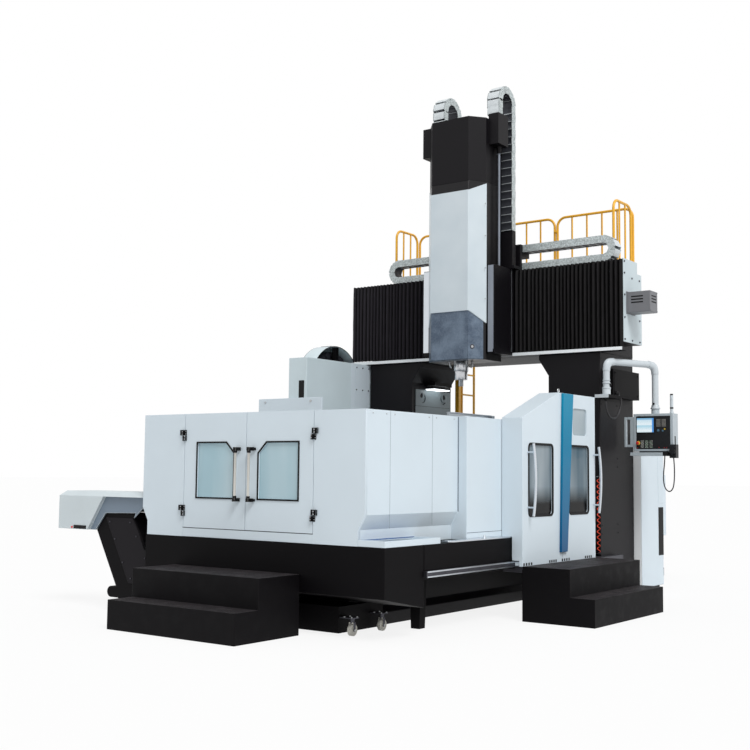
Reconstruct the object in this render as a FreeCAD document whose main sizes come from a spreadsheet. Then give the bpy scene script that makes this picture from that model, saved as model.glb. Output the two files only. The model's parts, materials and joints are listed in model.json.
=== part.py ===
import FreeCAD
import Part
import Sketcher
import math
import os
import re

# Gantry milling machine, millimetres. +X is the operator's side, +Y the back, +Z up.
# The origin is on the floor, on the machine's middle plane, under the middle of the columns.

SIZES = {
    # Bed, table and way covers
    "bed_half_width": 800,
    "bed_front": 4150,
    "bed_rear": 3500,
    "bed_top": 700,
    "foot_height": 120,
    "foot_spread": 60,
    "way_width": 150,
    "way_height": 60,
    "table_half_width": 850,
    "table_half_length": 1500,
    "table_height": 300,
    "slot_pitch": 220,
    "slot_width": 28,
    "slot_depth": 30,
    "slot_foot_width": 50,
    "slot_foot_height": 22,
    "cover_half_width": 780,
    "cover_height": 240,
    "cover_step": 26,
    "cover_slope": 60,
    # Conveyor housing across the front, gutters beside the bed, coolant tank
    "housing_left": 1380,
    "housing_right": 1655,
    "housing_low_front": 390,
    "housing_low_rear": 270,
    "gutter_low": 520,
    "gutter_side": 1640,
    "gutter_panel": 19,
    "gutter_panel_low": 600,
    "gutter_wide_rear": 2433,
    "gutter_narrow_side": 1500,
    "leg_x": 1255,
    "leg_y": 3650,
    "leg_width": 100,
    "tank_left": 700,
    "tank_right": 980,
    "tank_front": 4540,
    "tank_low": 20,
    "tank_height": 240,
    "tank_arm_rear": 3850,
    "tank_arm_width": 105,
    "caster_reach": 105,
    "caster_plate": 10,
    "caster_radius": 55,
    "caster_width": 34,
    "caster_front_y": 4470,
    "caster_rear_y": 4010,
    # Steps
    "step_rise": 277,
    "step_front_left": 937,
    "step_front_right": 697,
    "step_front_landing": 559,
    "step_front_tread": 299,
    "step_side_landing": 536,
    "step_side_tread": 268,
    "step_side_front": 2550,
    "step_side_rear": 826,
    "step_flange": 40,
    # Enclosure
    "wall_front": 4767,
    "wall_half": 1435,
    "wall_low_half": 1360,
    "wall_base": 838,
    "wall_top": 2062,
    "wall_bend_high": 1115,
    "wall_bend_low": 982,
    "wall_thick": 30,
    "panel_joint": 3225,
    "panel_rear": 2490,
    "panel_half": 1540,
    "tray_side": 1659,
    "tray_rear": 3878,
    "tray_height": 57,
    "sheet": 8,
    "guard_low": 600,
    "guard_top": 1500,
    # Front doors
    "door_half": 843,
    "door_low": 930,
    "door_gap": 6,
    "hinge_radius": 13,
    "hinge_offset": 16,
    "hinge_height": 110,
    "hinge_low_z": 1040,
    "hinge_high_z": 1790,
    "window_side": 655,
    "window_middle": 165,
    "window_low": 1235,
    "window_high": 1765,
    "window_chamfer": 100,
    "glass_thick": 6,
    "grip_x": 88,
    "grip_low": 1235,
    "grip_high": 1690,
    "grip_reach": 60,
    "grip_radius": 13,
    "grip_block": 34,
    # Sliding operator doors
    "leaf_face": 1788,
    "leaf_thick": 40,
    "leaf_front": 2542,
    "leaf_meet": 1655,
    "leaf_rear": 825,
    "leaf_low": 549,
    "leaf_top": 2385,
    "leaf_shoulder": 2080,
    "leaf_slope_end": 1725,
    "leaf_return": 1546,
    "leaf_return_low": 1665,
    "pane_front_a": 2400,
    "pane_front_b": 1880,
    "pane_rear_a": 1470,
    "pane_rear_b": 1010,
    "pane_low": 1070,
    "pane_high": 1800,
    "pane_small_a": 1390,
    "pane_small_b": 1040,
    "pane_small_low": 1930,
    "pane_small_high": 2230,
    "strip_top_a": 1665,
    "strip_top_b": 1422,
    "strip_low_a": 1722,
    "strip_low_b": 1575,
    "strip_low": 657,
    "strip_high": 2380,
    "strip_gap": 6,
    "strip_thick": 22,
    "bar_front_y": 2430,
    "bar_rear_y": 870,
    "bar_low": 1060,
    "bar_high": 1810,
    "bar_radius": 14,
    "bar_reach": 70,
    "rail_width": 50,
    "rail_low": 540,
    "rail_high": 600,
    "rail_rear": 2430,
    "track_low": 480,
    "track_rear": 60,
    "seat": 0.3,
    "run_gap": 6,
    # Columns and beam
    "column_inner": 1012,
    "column_outer": 1695,
    "column_half_depth": 480,
    "column_top": 2955,
    "gusset_reach": 132,
    "gusset_drop": 260,
    "gusset_lip": 60,
    "vent_front": 404,
    "vent_rear": 460,
    "vent_low": 2385,
    "vent_high": 2612,
    "vent_proud": 10,
    "vent_radius": 66,
    "beam_top": 3950,
    "beam_face": 380,
    "girder_half": 1990,
    "girder_face": 430,
    "girder_rear": 50,
    "girder_low": 3060,
    "girder_high": 3917,
    "rail_bar": 60,
    "rail_bar_depth": 50,
    "rail_bar_inset": 90,
    "tray_face": 400,
    "tray_back": 200,
    "tray_top": 4055,
    "end_plate": 14,
    "end_plate_front": 485,
    "end_plate_step": 75,
    "motor_reach": 296,
    "motor_front": 400,
    "motor_back": 180,
    "motor_low": 3406,
    "motor_high": 3654,
    "ledge_front": 530,
    "ledge_low": 2957,
    "ledge_high": 2997,
    # Coiled air hose on the right column
    "hose_x": 1680,
    "hose_y": 506,
    "hose_radius": 22,
    "hose_low": 585,
    "hose_high": 1460,
    "fitting_height": 24,
    # Bellows
    "bellows_front": 527,
    "bellows_back": 487,
    "bellows_low": 3003,
    "bellows_high": 4045,
    "bellows_sheet": 8,
    # Platform, railings and ladder
    "platform_front": 190,
    "platform_rear": 672,
    "platform_thick": 40,
    "railing_half": 1650,
    "railing_front": 40,
    "railing_rear": 630,
    "railing_height": 930,
    "railing_radius": 17,
    "railing_corner": 120,
    "ladder_x": 1000,
    "ladder_front": 800,
    "ladder_rear": 1130,
    "ladder_post": 60,
    "ladder_top": 4920,
    "rung_pitch": 290,
    "rung_radius": 12,
    # Saddle, ram and spindle
    "saddle_x": 30,
    "saddle_half": 518,
    "saddle_front": 990,
    "saddle_low": 2960,
    "saddle_top": 4050,
    "saddle_waist": 545,
    "saddle_waist_low": 3010,
    "slot_half": 424,
    "slot_back": 630,
    "ram_front": 1200,
    "ram_half": 414,
    "ram_flat": 267,
    "ram_shoulder": 1020,
    "ram_back": 640,
    "ram_low": 2877,
    "ram_split": 5085,
    "ram_top": 5895,
    "guide_strip": 12,
    "guide_strip_width": 28,
    "cover_low": 3566,
    "cover_proud": 14,
    "cover_drop": 150,
    "cover_rise": 95,
    "nose_radius": 92,
    "nose_low": 2760,
    "spindle_radius": 80,
    "spindle_low": 2650,
    "holder_radius": 31,
    "holder_low": 2570,
    "tool_radius": 10,
    "tool_depth": 60,
    "rod_x": 471,
    "rod_y": 800,
    "rod_radius": 14,
    "rod_bore": 20,
    "rod_tip": 4010,
    "bore_low": 2995,
    # Energy chains
    "chain_width": 174,
    "chain_thick": 95,
    "chain_waist": 80,
    "chain_bend": 161,
    "chain_pitch": 100,
    "chain_top": 6340,
    "chain_right": 467,
    "chain_left": 340,
    "chain_front_y": 895,
    "bracket_top": 4540,
    "bracket_foot": 40,
    "bracket_inset": 110,
    "bracket_overhang": 60,
    "run_bend": 115,
    "run_front": 390,
    "run_right_end": 1860,
    "run_left_end": 1470,
    "run_fixed_end": 300,
    # Tool magazine on the left
    "magazine_x": 2152,
    "magazine_y": 825,
    "magazine_z": 2675,
    "magazine_radius": 525,
    "magazine_half": 125,
    "magazine_sheet": 15,
    "drum_clear": 60,
    "drum_thick": 120,
    "drum_hub": 120,
    "pot_circle": 400,
    "pot_radius": 36,
    "pot_proud": 22,
    "changer_left": 2020,
    "changer_right": 1720,
    "changer_front": 1815,
    "changer_low": 2245,
    "changer_high": 2950,
    "guard_panel_front": 1850,
    "guard_panel_left": 2500,
    "guard_panel_right": 1441,
    "guard_panel_low": 1600,
    "guard_panel_high": 2430,
    # Lamp on the left column
    "lamp_height": 2660,
    "lamp_bracket": 40,
    "lamp_thick": 50,
    "lamp_reach": 190,
    "lamp_half_width": 210,
    # Cabinet, arm and pendant
    "cabinet_left": 1100,
    "cabinet_right": 1777,
    "cabinet_front": 525,
    "cabinet_rear": 1215,
    "cabinet_base": 100,
    "cabinet_top": 2000,
    "cooler_depth": 75,
    "cooler_low": 1130,
    "junction_depth": 100,
    "junction_front": 330,
    "junction_rear": 440,
    "junction_low": 2420,
    "junction_high": 2760,
    "arm_x": 1822,
    "arm_y": 575,
    "arm_base_low": 2395,
    "arm_base_thick": 40,
    "arm_socket": 48,
    "arm_tube": 33,
    "arm_rise": 430,
    "arm_joint": 60,
    "pendant_x": 2124,
    "pendant_y": -150,
    "pendant_drop": 2290,
    "pendant_half": 245,
    "pendant_depth": 150,
    "handle_reach": 110,
    "hand_unit_low": 1700,
    "pendant_low": 1785,
    "pendant_high": 2230,
    "arm_cable_radius": 10,
    "hand_cable_radius": 7,
    # Chip conveyor on the left
    "chute_front": 4690,
    "chute_rear": 4270,
    "chute_head_left": 2106,
    "chute_head_right": 1627,
    "chute_head_top": 1030,
    "chute_lip": 1654,
    "chute_lip_low": 986,
    "chute_shoulder": 1543,
    "chute_shoulder_low": 831,
    "chute_root": 1466,
    "chute_root_low": 677,
    "chute_back": 2234,
    "chute_back_low": 845,
    "chute_foot": 1911,
    "chute_foot_low": 278,
    "chute_toe": 1850,
    "chute_toe_low": 90,
    "chute_heel": 1560,
    "chute_mouth_low": 290,
    "chute_mouth_high": 650,
    "shaft_radius": 58,
    "shaft_x": 1984,
    "shaft_z": 205,
    "hood_left": 2809,
    "hood_low": 845,
    "hood_slant_low": 2324,
    "hood_slant_high": 2080,
    "hood_shoulder": 1206,
    "hood_high": 1259,
    "hood_chamfer": 57,
    "hood_overlap": 60,
    "cheek_thick": 20,
    "cheek_throat": 2082,
    "cheek_corner": 1605,
    "cheek_corner_low": 1042,
    "cheek_tip": 1632,
    "cheek_tip_low": 988,
    "cheek_side_low": 1096,
}

doc = FreeCAD.newDocument("gantry_mill")
sheet = doc.addObject("Spreadsheet::Sheet", "Sizes")
for row, (alias, number) in enumerate(SIZES.items(), start=1):
    sheet.set("A%d" % row, alias)
    sheet.set("B%d" % row, str(number))
    sheet.setAlias("B%d" % row, alias)
doc.recompute()

nodes = []


def bound(text):
    """The same expression with each named size read from the sheet."""
    return re.sub(r"[a-z_]+", lambda word: "Sizes." + word[0] if word[0] in SIZES else word[0], text)


def value(text):
    return float(sheet.evalExpression(bound(text)))


def place(piece, corner):
    for axis, text in zip("xyz", corner):
        piece.setExpression("Placement.Base." + axis, bound(text))
    return piece


def block(low, high):
    """A box from its lowest to its highest corner."""
    piece = doc.addObject("Part::Box", "block")
    for name, start, end in zip(("Length", "Width", "Height"), low, high):
        piece.setExpression(name, bound("(%s) - (%s)" % (end, start)))
    return place(piece, low)


def rod(start, radius, length, axis="z"):
    """A cylinder that runs from start along the named axis."""
    piece = doc.addObject("Part::Cylinder", "rod")
    piece.setExpression("Radius", bound(radius))
    piece.setExpression("Height", bound(length))
    turn = {"x": (FreeCAD.Vector(0, 1, 0), 90), "y": (FreeCAD.Vector(1, 0, 0), -90), "z": (FreeCAD.Vector(0, 0, 1), 0)}
    piece.Placement = FreeCAD.Placement(FreeCAD.Vector(), FreeCAD.Rotation(*turn[axis]))
    return place(piece, start)


def prism(plane, outline, start, end):
    """A closed outline on a plane, padded from start to end along the plane's normal."""
    body = doc.addObject("PartDesign::Body", "body")
    sketch = body.newObject("Sketcher::SketchObject", "outline")
    sketch.AttachmentSupport = [(next(f for f in body.Origin.OriginFeatures if f.Role == plane + "_Plane"), "")]
    sketch.MapMode = "FlatFace"
    corners = [FreeCAD.Vector(value(a), value(b), 0) for a, b in outline]
    count = len(corners)
    for i in range(count):
        sketch.addGeometry(Part.LineSegment(corners[i], corners[(i + 1) % count]), False)
    for i in range(count):
        sketch.addConstraint(Sketcher.Constraint("Coincident", i, 2, (i + 1) % count, 1))
    for i, pair in enumerate(outline):
        for kind, text, number in zip(("DistanceX", "DistanceY"), pair, (corners[i].x, corners[i].y)):
            index = sketch.addConstraint(Sketcher.Constraint(kind, i, 1, number))
            sketch.setExpression("Constraints[%d]" % index, bound(text))
    pad = body.newObject("PartDesign::Pad", "pad")
    pad.Profile = sketch
    pad.Reversed = plane == "XZ"
    pad.setExpression("Length", bound("(%s) - (%s)" % (end, start)))
    axis = {"XY": "z", "XZ": "y", "YZ": "x"}[plane]
    body.setExpression("Placement.Base." + axis, bound(start))
    return body


def mirrored(half):
    """A symmetric outline from its right half, listed from bottom to top."""
    return half + [("-(%s)" % a, b) for a, b in reversed(half)]


def sided(side, inner, outer):
    """The low and high X of a slab that lies between two distances from the middle plane."""
    return (inner, outer) if side > 0 else ("-(%s)" % outer, "-(%s)" % inner)


def joined(pieces):
    piece = doc.addObject("Part::MultiFuse", "joined")
    piece.Shapes = pieces
    piece.Refine = True
    return piece


def grouped(pieces):
    piece = doc.addObject("Part::Compound", "grouped")
    piece.Links = pieces
    return piece


def cut(base, tool):
    piece = doc.addObject("Part::Cut", "cut")
    piece.Base = base
    piece.Tool = tool
    return piece


def common(pieces):
    piece = doc.addObject("Part::MultiCommon", "common")
    piece.Shapes = pieces
    return piece


def node(name, piece):
    piece.Label = name
    nodes.append(piece)
    return piece


def drawn(shape):
    """A piece whose shape is worked out in code from the sheet's sizes."""
    piece = doc.addObject("Part::Feature", "drawn")
    piece.Shape = shape
    return piece


# Bed: a cast box with a foot flange and two raised ways
bed_half = [
    ("bed_half_width + foot_spread", "0"),
    ("bed_half_width + foot_spread", "foot_height"),
    ("bed_half_width", "foot_height + foot_spread"),
    ("bed_half_width", "bed_top"),
    ("bed_half_width - way_width", "bed_top"),
    ("bed_half_width - way_width", "bed_top - way_height"),
]
node("bed", prism("XZ", mirrored(bed_half), "-bed_front", "bed_rear"))

# Table: a slab with T-slots along its length
slab = block(
    ("-table_half_width", "-table_half_length", "bed_top"),
    ("table_half_width", "table_half_length", "bed_top + table_height"),
)
slots = []
for index in range(-3, 4):
    for half, low, high in (
        ("slot_width / 2", "slot_depth + slot_foot_height", "-1"),
        ("slot_foot_width / 2", "slot_depth + slot_foot_height", "slot_depth"),
    ):
        slots.append(
            block(
                ("%d * slot_pitch - %s" % (index, half), "-table_half_length - 1", "bed_top + table_height - (%s)" % low),
                ("%d * slot_pitch + %s" % (index, half), "table_half_length + 1", "bed_top + table_height - (%s)" % high),
            )
        )
node("table", cut(slab, joined(slots)))


# Way covers: telescopic roofs that step down from the table to each end of the bed
def way_cover(near, far, count, name):
    pieces = []
    for step in range(count):
        half = "cover_half_width - %d * cover_step" % step
        top = "bed_top + cover_height - %d * cover_step" % step
        roof = [(half, "bed_top"), (half, "%s - cover_slope" % top), ("(%s) / 2" % half, top)]
        start = "%s + (%s - %s) * %d / %d" % (near, far, near, step, count)
        end = "%s + (%s - %s) * %d / %d" % (near, far, near, step + 1, count)
        if name == "front":
            start, end = "-(%s)" % end, "-(%s)" % start
        pieces.append(prism("XZ", mirrored(roof), start, end))
    return joined(pieces)


node(
    "way_covers",
    grouped([way_cover("table_half_length", "bed_front", 4, "front"), way_cover("table_half_length", "bed_rear", 3, "rear")]),
)

# Conveyor housing across the front of the bed, black sheet with a sloping underside
housing = [
    ("-wall_front", "housing_low_front"),
    ("-bed_front", "housing_low_rear"),
    ("-bed_front", "wall_base"),
    ("-wall_front", "wall_base"),
]
node("front_housing", prism("YZ", housing, "-housing_left", "housing_right"))


# Gutters: closed troughs along the bed's sides that carry the enclosure walls, pass under the table and
# stand on a tapered leg
def gutter(side):
    pieces = []
    for far, front, rear in (
        ("gutter_side", "bed_front", "gutter_wide_rear"),
        ("gutter_narrow_side", "gutter_wide_rear + 1", "column_half_depth"),
    ):
        outline = [
            ("bed_half_width", "gutter_low"),
            (far, "gutter_low"),
            (far, "wall_base"),
            ("table_half_width + run_gap", "wall_base"),
            ("table_half_width + run_gap", "bed_top - run_gap"),
            ("bed_half_width", "bed_top - run_gap"),
        ]
        if side < 0:
            outline = [("-(%s)" % a, b) for a, b in outline]
        pieces.append(prism("XZ", outline, "-(%s)" % front, "-(%s)" % rear))
    left, right = sided(side, "gutter_side - 1", "gutter_side + gutter_panel")
    pieces.append(block((left, "-bed_front", "gutter_panel_low"), (right, "-gutter_wide_rear", "wall_base")))
    leg = [
        ("leg_x - leg_width / 2", "0"),
        ("leg_x + leg_width / 2", "0"),
        ("leg_x + leg_width * 0.7", "gutter_low + 1"),
        ("leg_x - leg_width * 0.7", "gutter_low + 1"),
    ]
    if side < 0:
        leg = [("-(%s)" % a, b) for a, b in leg]
    pieces.append(prism("XZ", leg, "-leg_y - leg_width / 2", "-leg_y + leg_width / 2"))
    return joined(pieces)


node("side_gutters", grouped([gutter(-1), gutter(1)]))

# Coolant tank under the conveyor housing, with an arm beside the bed and its casters
tank_plan = [
    ("-tank_left", "-tank_front"),
    ("tank_right", "-tank_front"),
    ("tank_right", "-tank_arm_rear"),
    ("tank_right - tank_arm_width", "-tank_arm_rear"),
    ("tank_right - tank_arm_width", "-bed_front - seat"),
    ("-tank_left", "-bed_front - seat"),
]
tank = [prism("XY", tank_plan, "tank_low", "tank_low + tank_height")]
for caster_y in ("caster_front_y", "caster_rear_y"):
    middle = "tank_right + caster_reach"
    fork = "2 * caster_radius + 8"
    tank.append(
        block(
            ("tank_right - 1", "-%s - caster_radius" % caster_y, "%s + 40" % fork),
            ("%s + caster_width" % middle, "-%s + caster_radius" % caster_y, "%s + 40 + caster_plate" % fork),
        )
    )
    tank.append(rod((middle, "-" + caster_y, "%s - 2" % fork), "caster_width * 0.6", "46"))
    for edge in ("-caster_width / 2 - 9", "caster_width / 2 + 3"):
        tank.append(
            block(
                ("%s + %s" % (middle, edge), "-%s - 18" % caster_y, "caster_radius - 14"),
                ("%s + %s + 6" % (middle, edge), "-%s + 18" % caster_y, "%s + 6" % fork),
            )
        )
    tank.append(
        block(
            ("%s - caster_width / 2 - 9" % middle, "-%s - 18" % caster_y, "%s - 4" % fork),
            ("%s + caster_width / 2 + 9" % middle, "-%s + 18" % caster_y, "%s + 6" % fork),
        )
    )
    tank.append(rod(("%s - caster_width / 2 - 9" % middle, "-" + caster_y, "caster_radius"), "10", "caster_width + 18", "x"))
    tank.append(rod(("%s - caster_width / 2" % middle, "-" + caster_y, "caster_radius"), "caster_radius", "caster_width", "x"))
node("coolant_tank", joined(tank))

# Steps in front of the doors and at the operator's side
front_steps = [
    ("-wall_front - step_front_landing - step_front_tread", "0"),
    ("-wall_front", "0"),
    ("-wall_front", "2 * step_rise"),
    ("-wall_front - step_front_landing", "2 * step_rise"),
    ("-wall_front - step_front_landing", "step_rise"),
    ("-wall_front - step_front_landing - step_front_tread", "step_rise"),
]
node("front_steps", prism("YZ", front_steps, "-step_front_left", "step_front_right"))
side_steps = [
    ("leaf_face + seat", "0"),
    ("leaf_face + step_side_landing + step_side_tread", "0"),
    ("leaf_face + step_side_landing + step_side_tread", "step_rise"),
    ("leaf_face + step_side_landing", "step_rise"),
    ("leaf_face + step_side_landing", "2 * step_rise"),
    ("leaf_face + run_gap", "2 * step_rise"),
    ("leaf_face + run_gap", "track_low + step_flange"),
    ("leaf_face + seat", "track_low + step_flange"),
]
node("operator_steps", prism("XZ", side_steps, "-step_side_front", "-step_side_rear"))


# Front walls, left and right of the double doors, with the enclosure's waisted outline
def front_wall(side):
    outline = [
        ("door_half", "wall_base"),
        ("wall_low_half", "wall_base"),
        ("wall_low_half", "wall_bend_low"),
        ("wall_half", "wall_bend_high"),
        ("wall_half", "wall_top"),
        ("door_half", "wall_top"),
    ]
    if side < 0:
        outline = [("-" + a, b) for a, b in outline]
    pieces = [prism("XZ", outline, "-wall_front", "-wall_front + wall_thick")]
    for low in ("hinge_low_z", "hinge_high_z"):
        centre = sided(side, "door_half", "door_half")[0]
        knuckle_z = "%s + hinge_height / 2 + 1" % low
        barrel = rod((centre, "-wall_front - hinge_offset", knuckle_z), "hinge_radius", "hinge_height / 2 - 1")
        near, far = sided(side, "door_half", "door_half + 3 * hinge_radius")
        plate = block((near, "-wall_front - hinge_offset - 3", knuckle_z), (far, "-wall_front", "%s + hinge_height" % low))
        pieces += [barrel, plate]
        pieces.append(rod((centre, "-wall_front - hinge_offset", "%s + 8" % low), "hinge_radius / 2", "hinge_height - 16"))
    return joined(pieces)


node("front_walls", grouped([front_wall(-1), front_wall(1)]))

# Sill under the doors, and the drip tray at the front right corner
sill = block(
    ("-door_half", "-wall_front", "wall_base"),
    ("door_half", "-wall_front + wall_thick", "door_low - door_gap"),
)
tray = cut(
    block(("wall_low_half", "-wall_front", "wall_base"), ("tray_side", "-tray_rear", "wall_base + tray_height")),
    block(
        ("wall_low_half - 1", "-wall_front + sheet", "wall_base + sheet"),
        ("tray_side - sheet", "-tray_rear - sheet", "wall_base + tray_height + 1"),
    ),
)
node("front_ledges", grouped([sill, tray]))


# Side walls: folded sheet panels with a waist near the bottom
def side_panel(side, rear):
    outline = [
        ("wall_low_half", "wall_base"),
        ("wall_low_half", "wall_bend_low"),
        ("wall_half", "wall_bend_high"),
        ("wall_half", "wall_top"),
        ("wall_half - wall_thick", "wall_top"),
        ("wall_half - wall_thick", "wall_bend_high"),
        ("wall_low_half - wall_thick", "wall_bend_low"),
        ("wall_low_half - wall_thick", "wall_base"),
    ]
    if side < 0:
        outline = [("-(%s)" % a, b) for a, b in outline]
    return prism("XZ", outline, "-wall_front + wall_thick", "-" + rear)


cover_plan = [
    ("wall_low_half - wall_thick", "-panel_joint"),
    ("panel_half", "-panel_joint"),
    ("panel_half", "-panel_rear"),
    ("panel_half - wall_thick", "-panel_rear"),
    ("panel_half - wall_thick", "-panel_joint + wall_thick"),
    ("wall_low_half - wall_thick", "-panel_joint + wall_thick"),
]
node("side_wall_right", joined([side_panel(1, "panel_joint"), prism("XY", cover_plan, "wall_base", "wall_top")]))
node("side_wall_left", side_panel(-1, "column_half_depth - run_gap"))

# Rear guards along the rear half of the bed, on flanges under the table's edge
rear_guards = []
for side in (-1, 1):
    plate_left, plate_right = sided(side, "table_half_width + run_gap", "table_half_width + run_gap + wall_thick")
    flange_left, flange_right = sided(side, "bed_half_width", "table_half_width + run_gap + wall_thick")
    for left, right, low, high in (
        (plate_left, plate_right, "guard_low", "guard_top"),
        (flange_left, flange_right, "guard_low", "guard_low + wall_thick"),
    ):
        rear_guards.append(block((left, "column_half_depth + run_gap", low), (right, "bed_rear + wall_thick", high)))
guard_side = "(table_half_width + run_gap + wall_thick)"
rear_guards.append(block(("-" + guard_side, "bed_rear", "guard_low"), (guard_side, "bed_rear + wall_thick", "guard_top")))
node("rear_guards", joined(rear_guards))


# Front doors: two hinged leaves, each with a window whose upper inner corner is cut off
def front_door(side, name):
    near, far = sided(side, "door_gap / 2", "door_half - door_gap")
    leaf = block(
        (near, "-wall_front", "door_low"),
        (far, "-wall_front + wall_thick", "wall_top"),
    )
    outline = [
        ("window_middle", "window_low"),
        ("window_side", "window_low"),
        ("window_side", "window_high"),
        ("window_middle + window_chamfer", "window_high"),
        ("window_middle", "window_high - window_chamfer"),
    ]
    if side < 0:
        outline = [("-(%s)" % a, b) for a, b in outline]
    opening = prism("XZ", outline, "-wall_front - 10", "-wall_front + wall_thick + 10")
    pieces = [cut(leaf, opening)]
    centre = sided(side, "door_half", "door_half")[0]
    for low in ("hinge_low_z", "hinge_high_z"):
        top = "%s + hinge_height / 2 - 1" % low
        barrel = rod((centre, "-wall_front - hinge_offset", low), "hinge_radius", "hinge_height / 2 - 1")
        left, right = sided(side, "door_half - 3 * hinge_radius", "door_half")
        plate = block((left, "-wall_front - hinge_offset - 3", low), (right, "-wall_front", top))
        pin = rod((centre, "-wall_front - hinge_offset", "%s - 1" % low), "hinge_radius / 2 + 0.5", "hinge_height + 2")
        pieces.append(cut(joined([barrel, plate]), pin))
    node("front_door_" + name, joined(pieces))
    pane = prism("XZ", outline, "-wall_front + 12", "-wall_front + 12 + glass_thick")
    node("front_glass_" + name, pane)
    grip = sided(side, "grip_x", "grip_x")[0]
    pieces = [rod((grip, "-wall_front - grip_reach", "grip_low"), "grip_radius", "grip_high - grip_low")]
    for low in ("grip_low - grip_block", "grip_high"):
        pieces.append(
            block(
                ("%s - grip_block / 2" % grip, "-wall_front - grip_reach - grip_block / 2", low),
                ("%s + grip_block / 2" % grip, "-wall_front", "%s + grip_block" % low),
            )
        )
    node("front_handle_" + name, joined(pieces))


front_door(-1, "left")
front_door(1, "right")

# Operator doors: a front leaf with a folded edge and sloping roof, and a flat rear leaf
leaf_outline = [
    ("-leaf_front", "leaf_low"),
    ("-leaf_meet", "leaf_low"),
    ("-leaf_meet", "leaf_top"),
    ("-leaf_slope_end", "leaf_top"),
    ("-leaf_front", "leaf_shoulder"),
]
roof_outline = [
    ("-leaf_front", "leaf_shoulder - wall_thick"),
    ("-leaf_slope_end", "leaf_top - wall_thick"),
    ("-leaf_meet", "leaf_top - wall_thick"),
    ("-leaf_meet", "leaf_top"),
    ("-leaf_slope_end", "leaf_top"),
    ("-leaf_front", "leaf_shoulder"),
]
leaf_inner = "leaf_face - leaf_thick"


def window_tool(a, b, low, high, radius):
    """A rounded window opening through a leaf."""
    thick = "leaf_thick + 20"
    start = "leaf_face - leaf_thick - 10"
    pieces = [
        block((start, "-%s + %s" % (a, radius), low), ("%s + %s" % (start, thick), "-%s - %s" % (b, radius), high)),
        block((start, "-" + a, "%s + %s" % (low, radius)), ("%s + %s" % (start, thick), "-" + b, "%s - %s" % (high, radius))),
    ]
    for y in ("-%s + %s" % (a, radius), "-%s - %s" % (b, radius)):
        for z in ("%s + %s" % (low, radius), "%s - %s" % (high, radius)):
            pieces.append(rod((start, y, z), radius, thick, "x"))
    return joined(pieces)


def pane(a, b, low, high):
    start = "leaf_face - leaf_thick / 2"
    return common(
        [
            block((start, "-" + a, low), ("%s + glass_thick" % start, "-" + b, high)),
            window_tool(a, b, low, high, "40"),
        ]
    )


def slider(y, low, high, x_low):
    return block((x_low, "%s - 40" % y, low), (leaf_inner, "%s + 40" % y, high))


front_leaf = joined(
    [
        prism("YZ", leaf_outline, leaf_inner, "leaf_face"),
        prism("YZ", roof_outline, "leaf_return", leaf_inner + " + 1"),
        block(
            ("leaf_return", "-leaf_front", "wall_base + run_gap * 2"),
            (leaf_inner + " + 1", "-leaf_front + wall_thick", "leaf_shoulder"),
        ),
        block(
            ("leaf_return_low", "-leaf_front", "rail_high + run_gap"),
            (leaf_inner + " + 1", "-leaf_front + wall_thick", "leaf_shoulder"),
        ),
        slider("-leaf_front + 60", "leaf_low + 6", "rail_high - 6", "gutter_side + rail_width + seat"),
        slider("-leaf_meet - 60", "leaf_low + 6", "rail_high - 6", "gutter_side + rail_width + seat"),
        block((leaf_inner, "-leaf_meet - 100", "leaf_low - run_gap + seat"), ("leaf_face", "-leaf_meet - 20", "leaf_low")),
    ]
)
node("operator_door_front", cut(front_leaf, window_tool("pane_front_a", "pane_front_b", "pane_low", "pane_high", "40")))
rear_leaf = joined(
    [
        block((leaf_inner, "-leaf_meet + door_gap", "leaf_low"), ("leaf_face", "-leaf_rear", "leaf_top")),
        block((leaf_inner, "-leaf_meet + 100", "leaf_low - run_gap + seat"), ("leaf_face", "-leaf_meet + 180", "leaf_low")),
        block((leaf_inner, "-leaf_rear - 180", "leaf_low - run_gap + seat"), ("leaf_face", "-leaf_rear - 100", "leaf_low")),
    ]
)
node(
    "operator_door_rear",
    cut(
        rear_leaf,
        joined(
            [
                window_tool("pane_rear_a", "pane_rear_b", "pane_low", "pane_high", "40"),
                window_tool("pane_small_a", "pane_small_b", "pane_small_low", "pane_small_high", "40"),
            ]
        ),
    ),
)
node("operator_glass_front", pane("pane_front_a", "pane_front_b", "pane_low", "pane_high"))
node(
    "operator_glass_rear",
    grouped(
        [
            pane("pane_rear_a", "pane_rear_b", "pane_low", "pane_high"),
            pane("pane_small_a", "pane_small_b", "pane_small_low", "pane_small_high"),
        ]
    ),
)


# Long door bars: a steel tube on two standoffs, bowed outward at its middle
def door_bar(y, name):
    low = FreeCAD.Vector(value("leaf_face + bar_reach"), value(y), value("bar_low"))
    high = FreeCAD.Vector(low.x, low.y, value("bar_high"))
    middle = FreeCAD.Vector(low.x + 25, low.y, (low.z + high.z) / 2)
    path = Part.Wire([Part.Arc(low, middle, high).toShape()])
    tangent = path.Edges[0].tangentAt(path.Edges[0].FirstParameter)
    section = Part.Wire([Part.makeCircle(value("bar_radius"), low, tangent)])
    tube = path.makePipeShell([section], True, False)
    pieces = [drawn(tube)]
    for z in ("bar_low + (bar_high - bar_low) * 0.12", "bar_high - (bar_high - bar_low) * 0.12"):
        pieces.append(rod(("leaf_face", y, z), "bar_radius * 0.7", "bar_reach + 12", "x"))
    node("operator_handle_" + name, joined(pieces))


door_bar("-bar_front_y", "front")
door_bar("-bar_rear_y", "rear")

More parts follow.
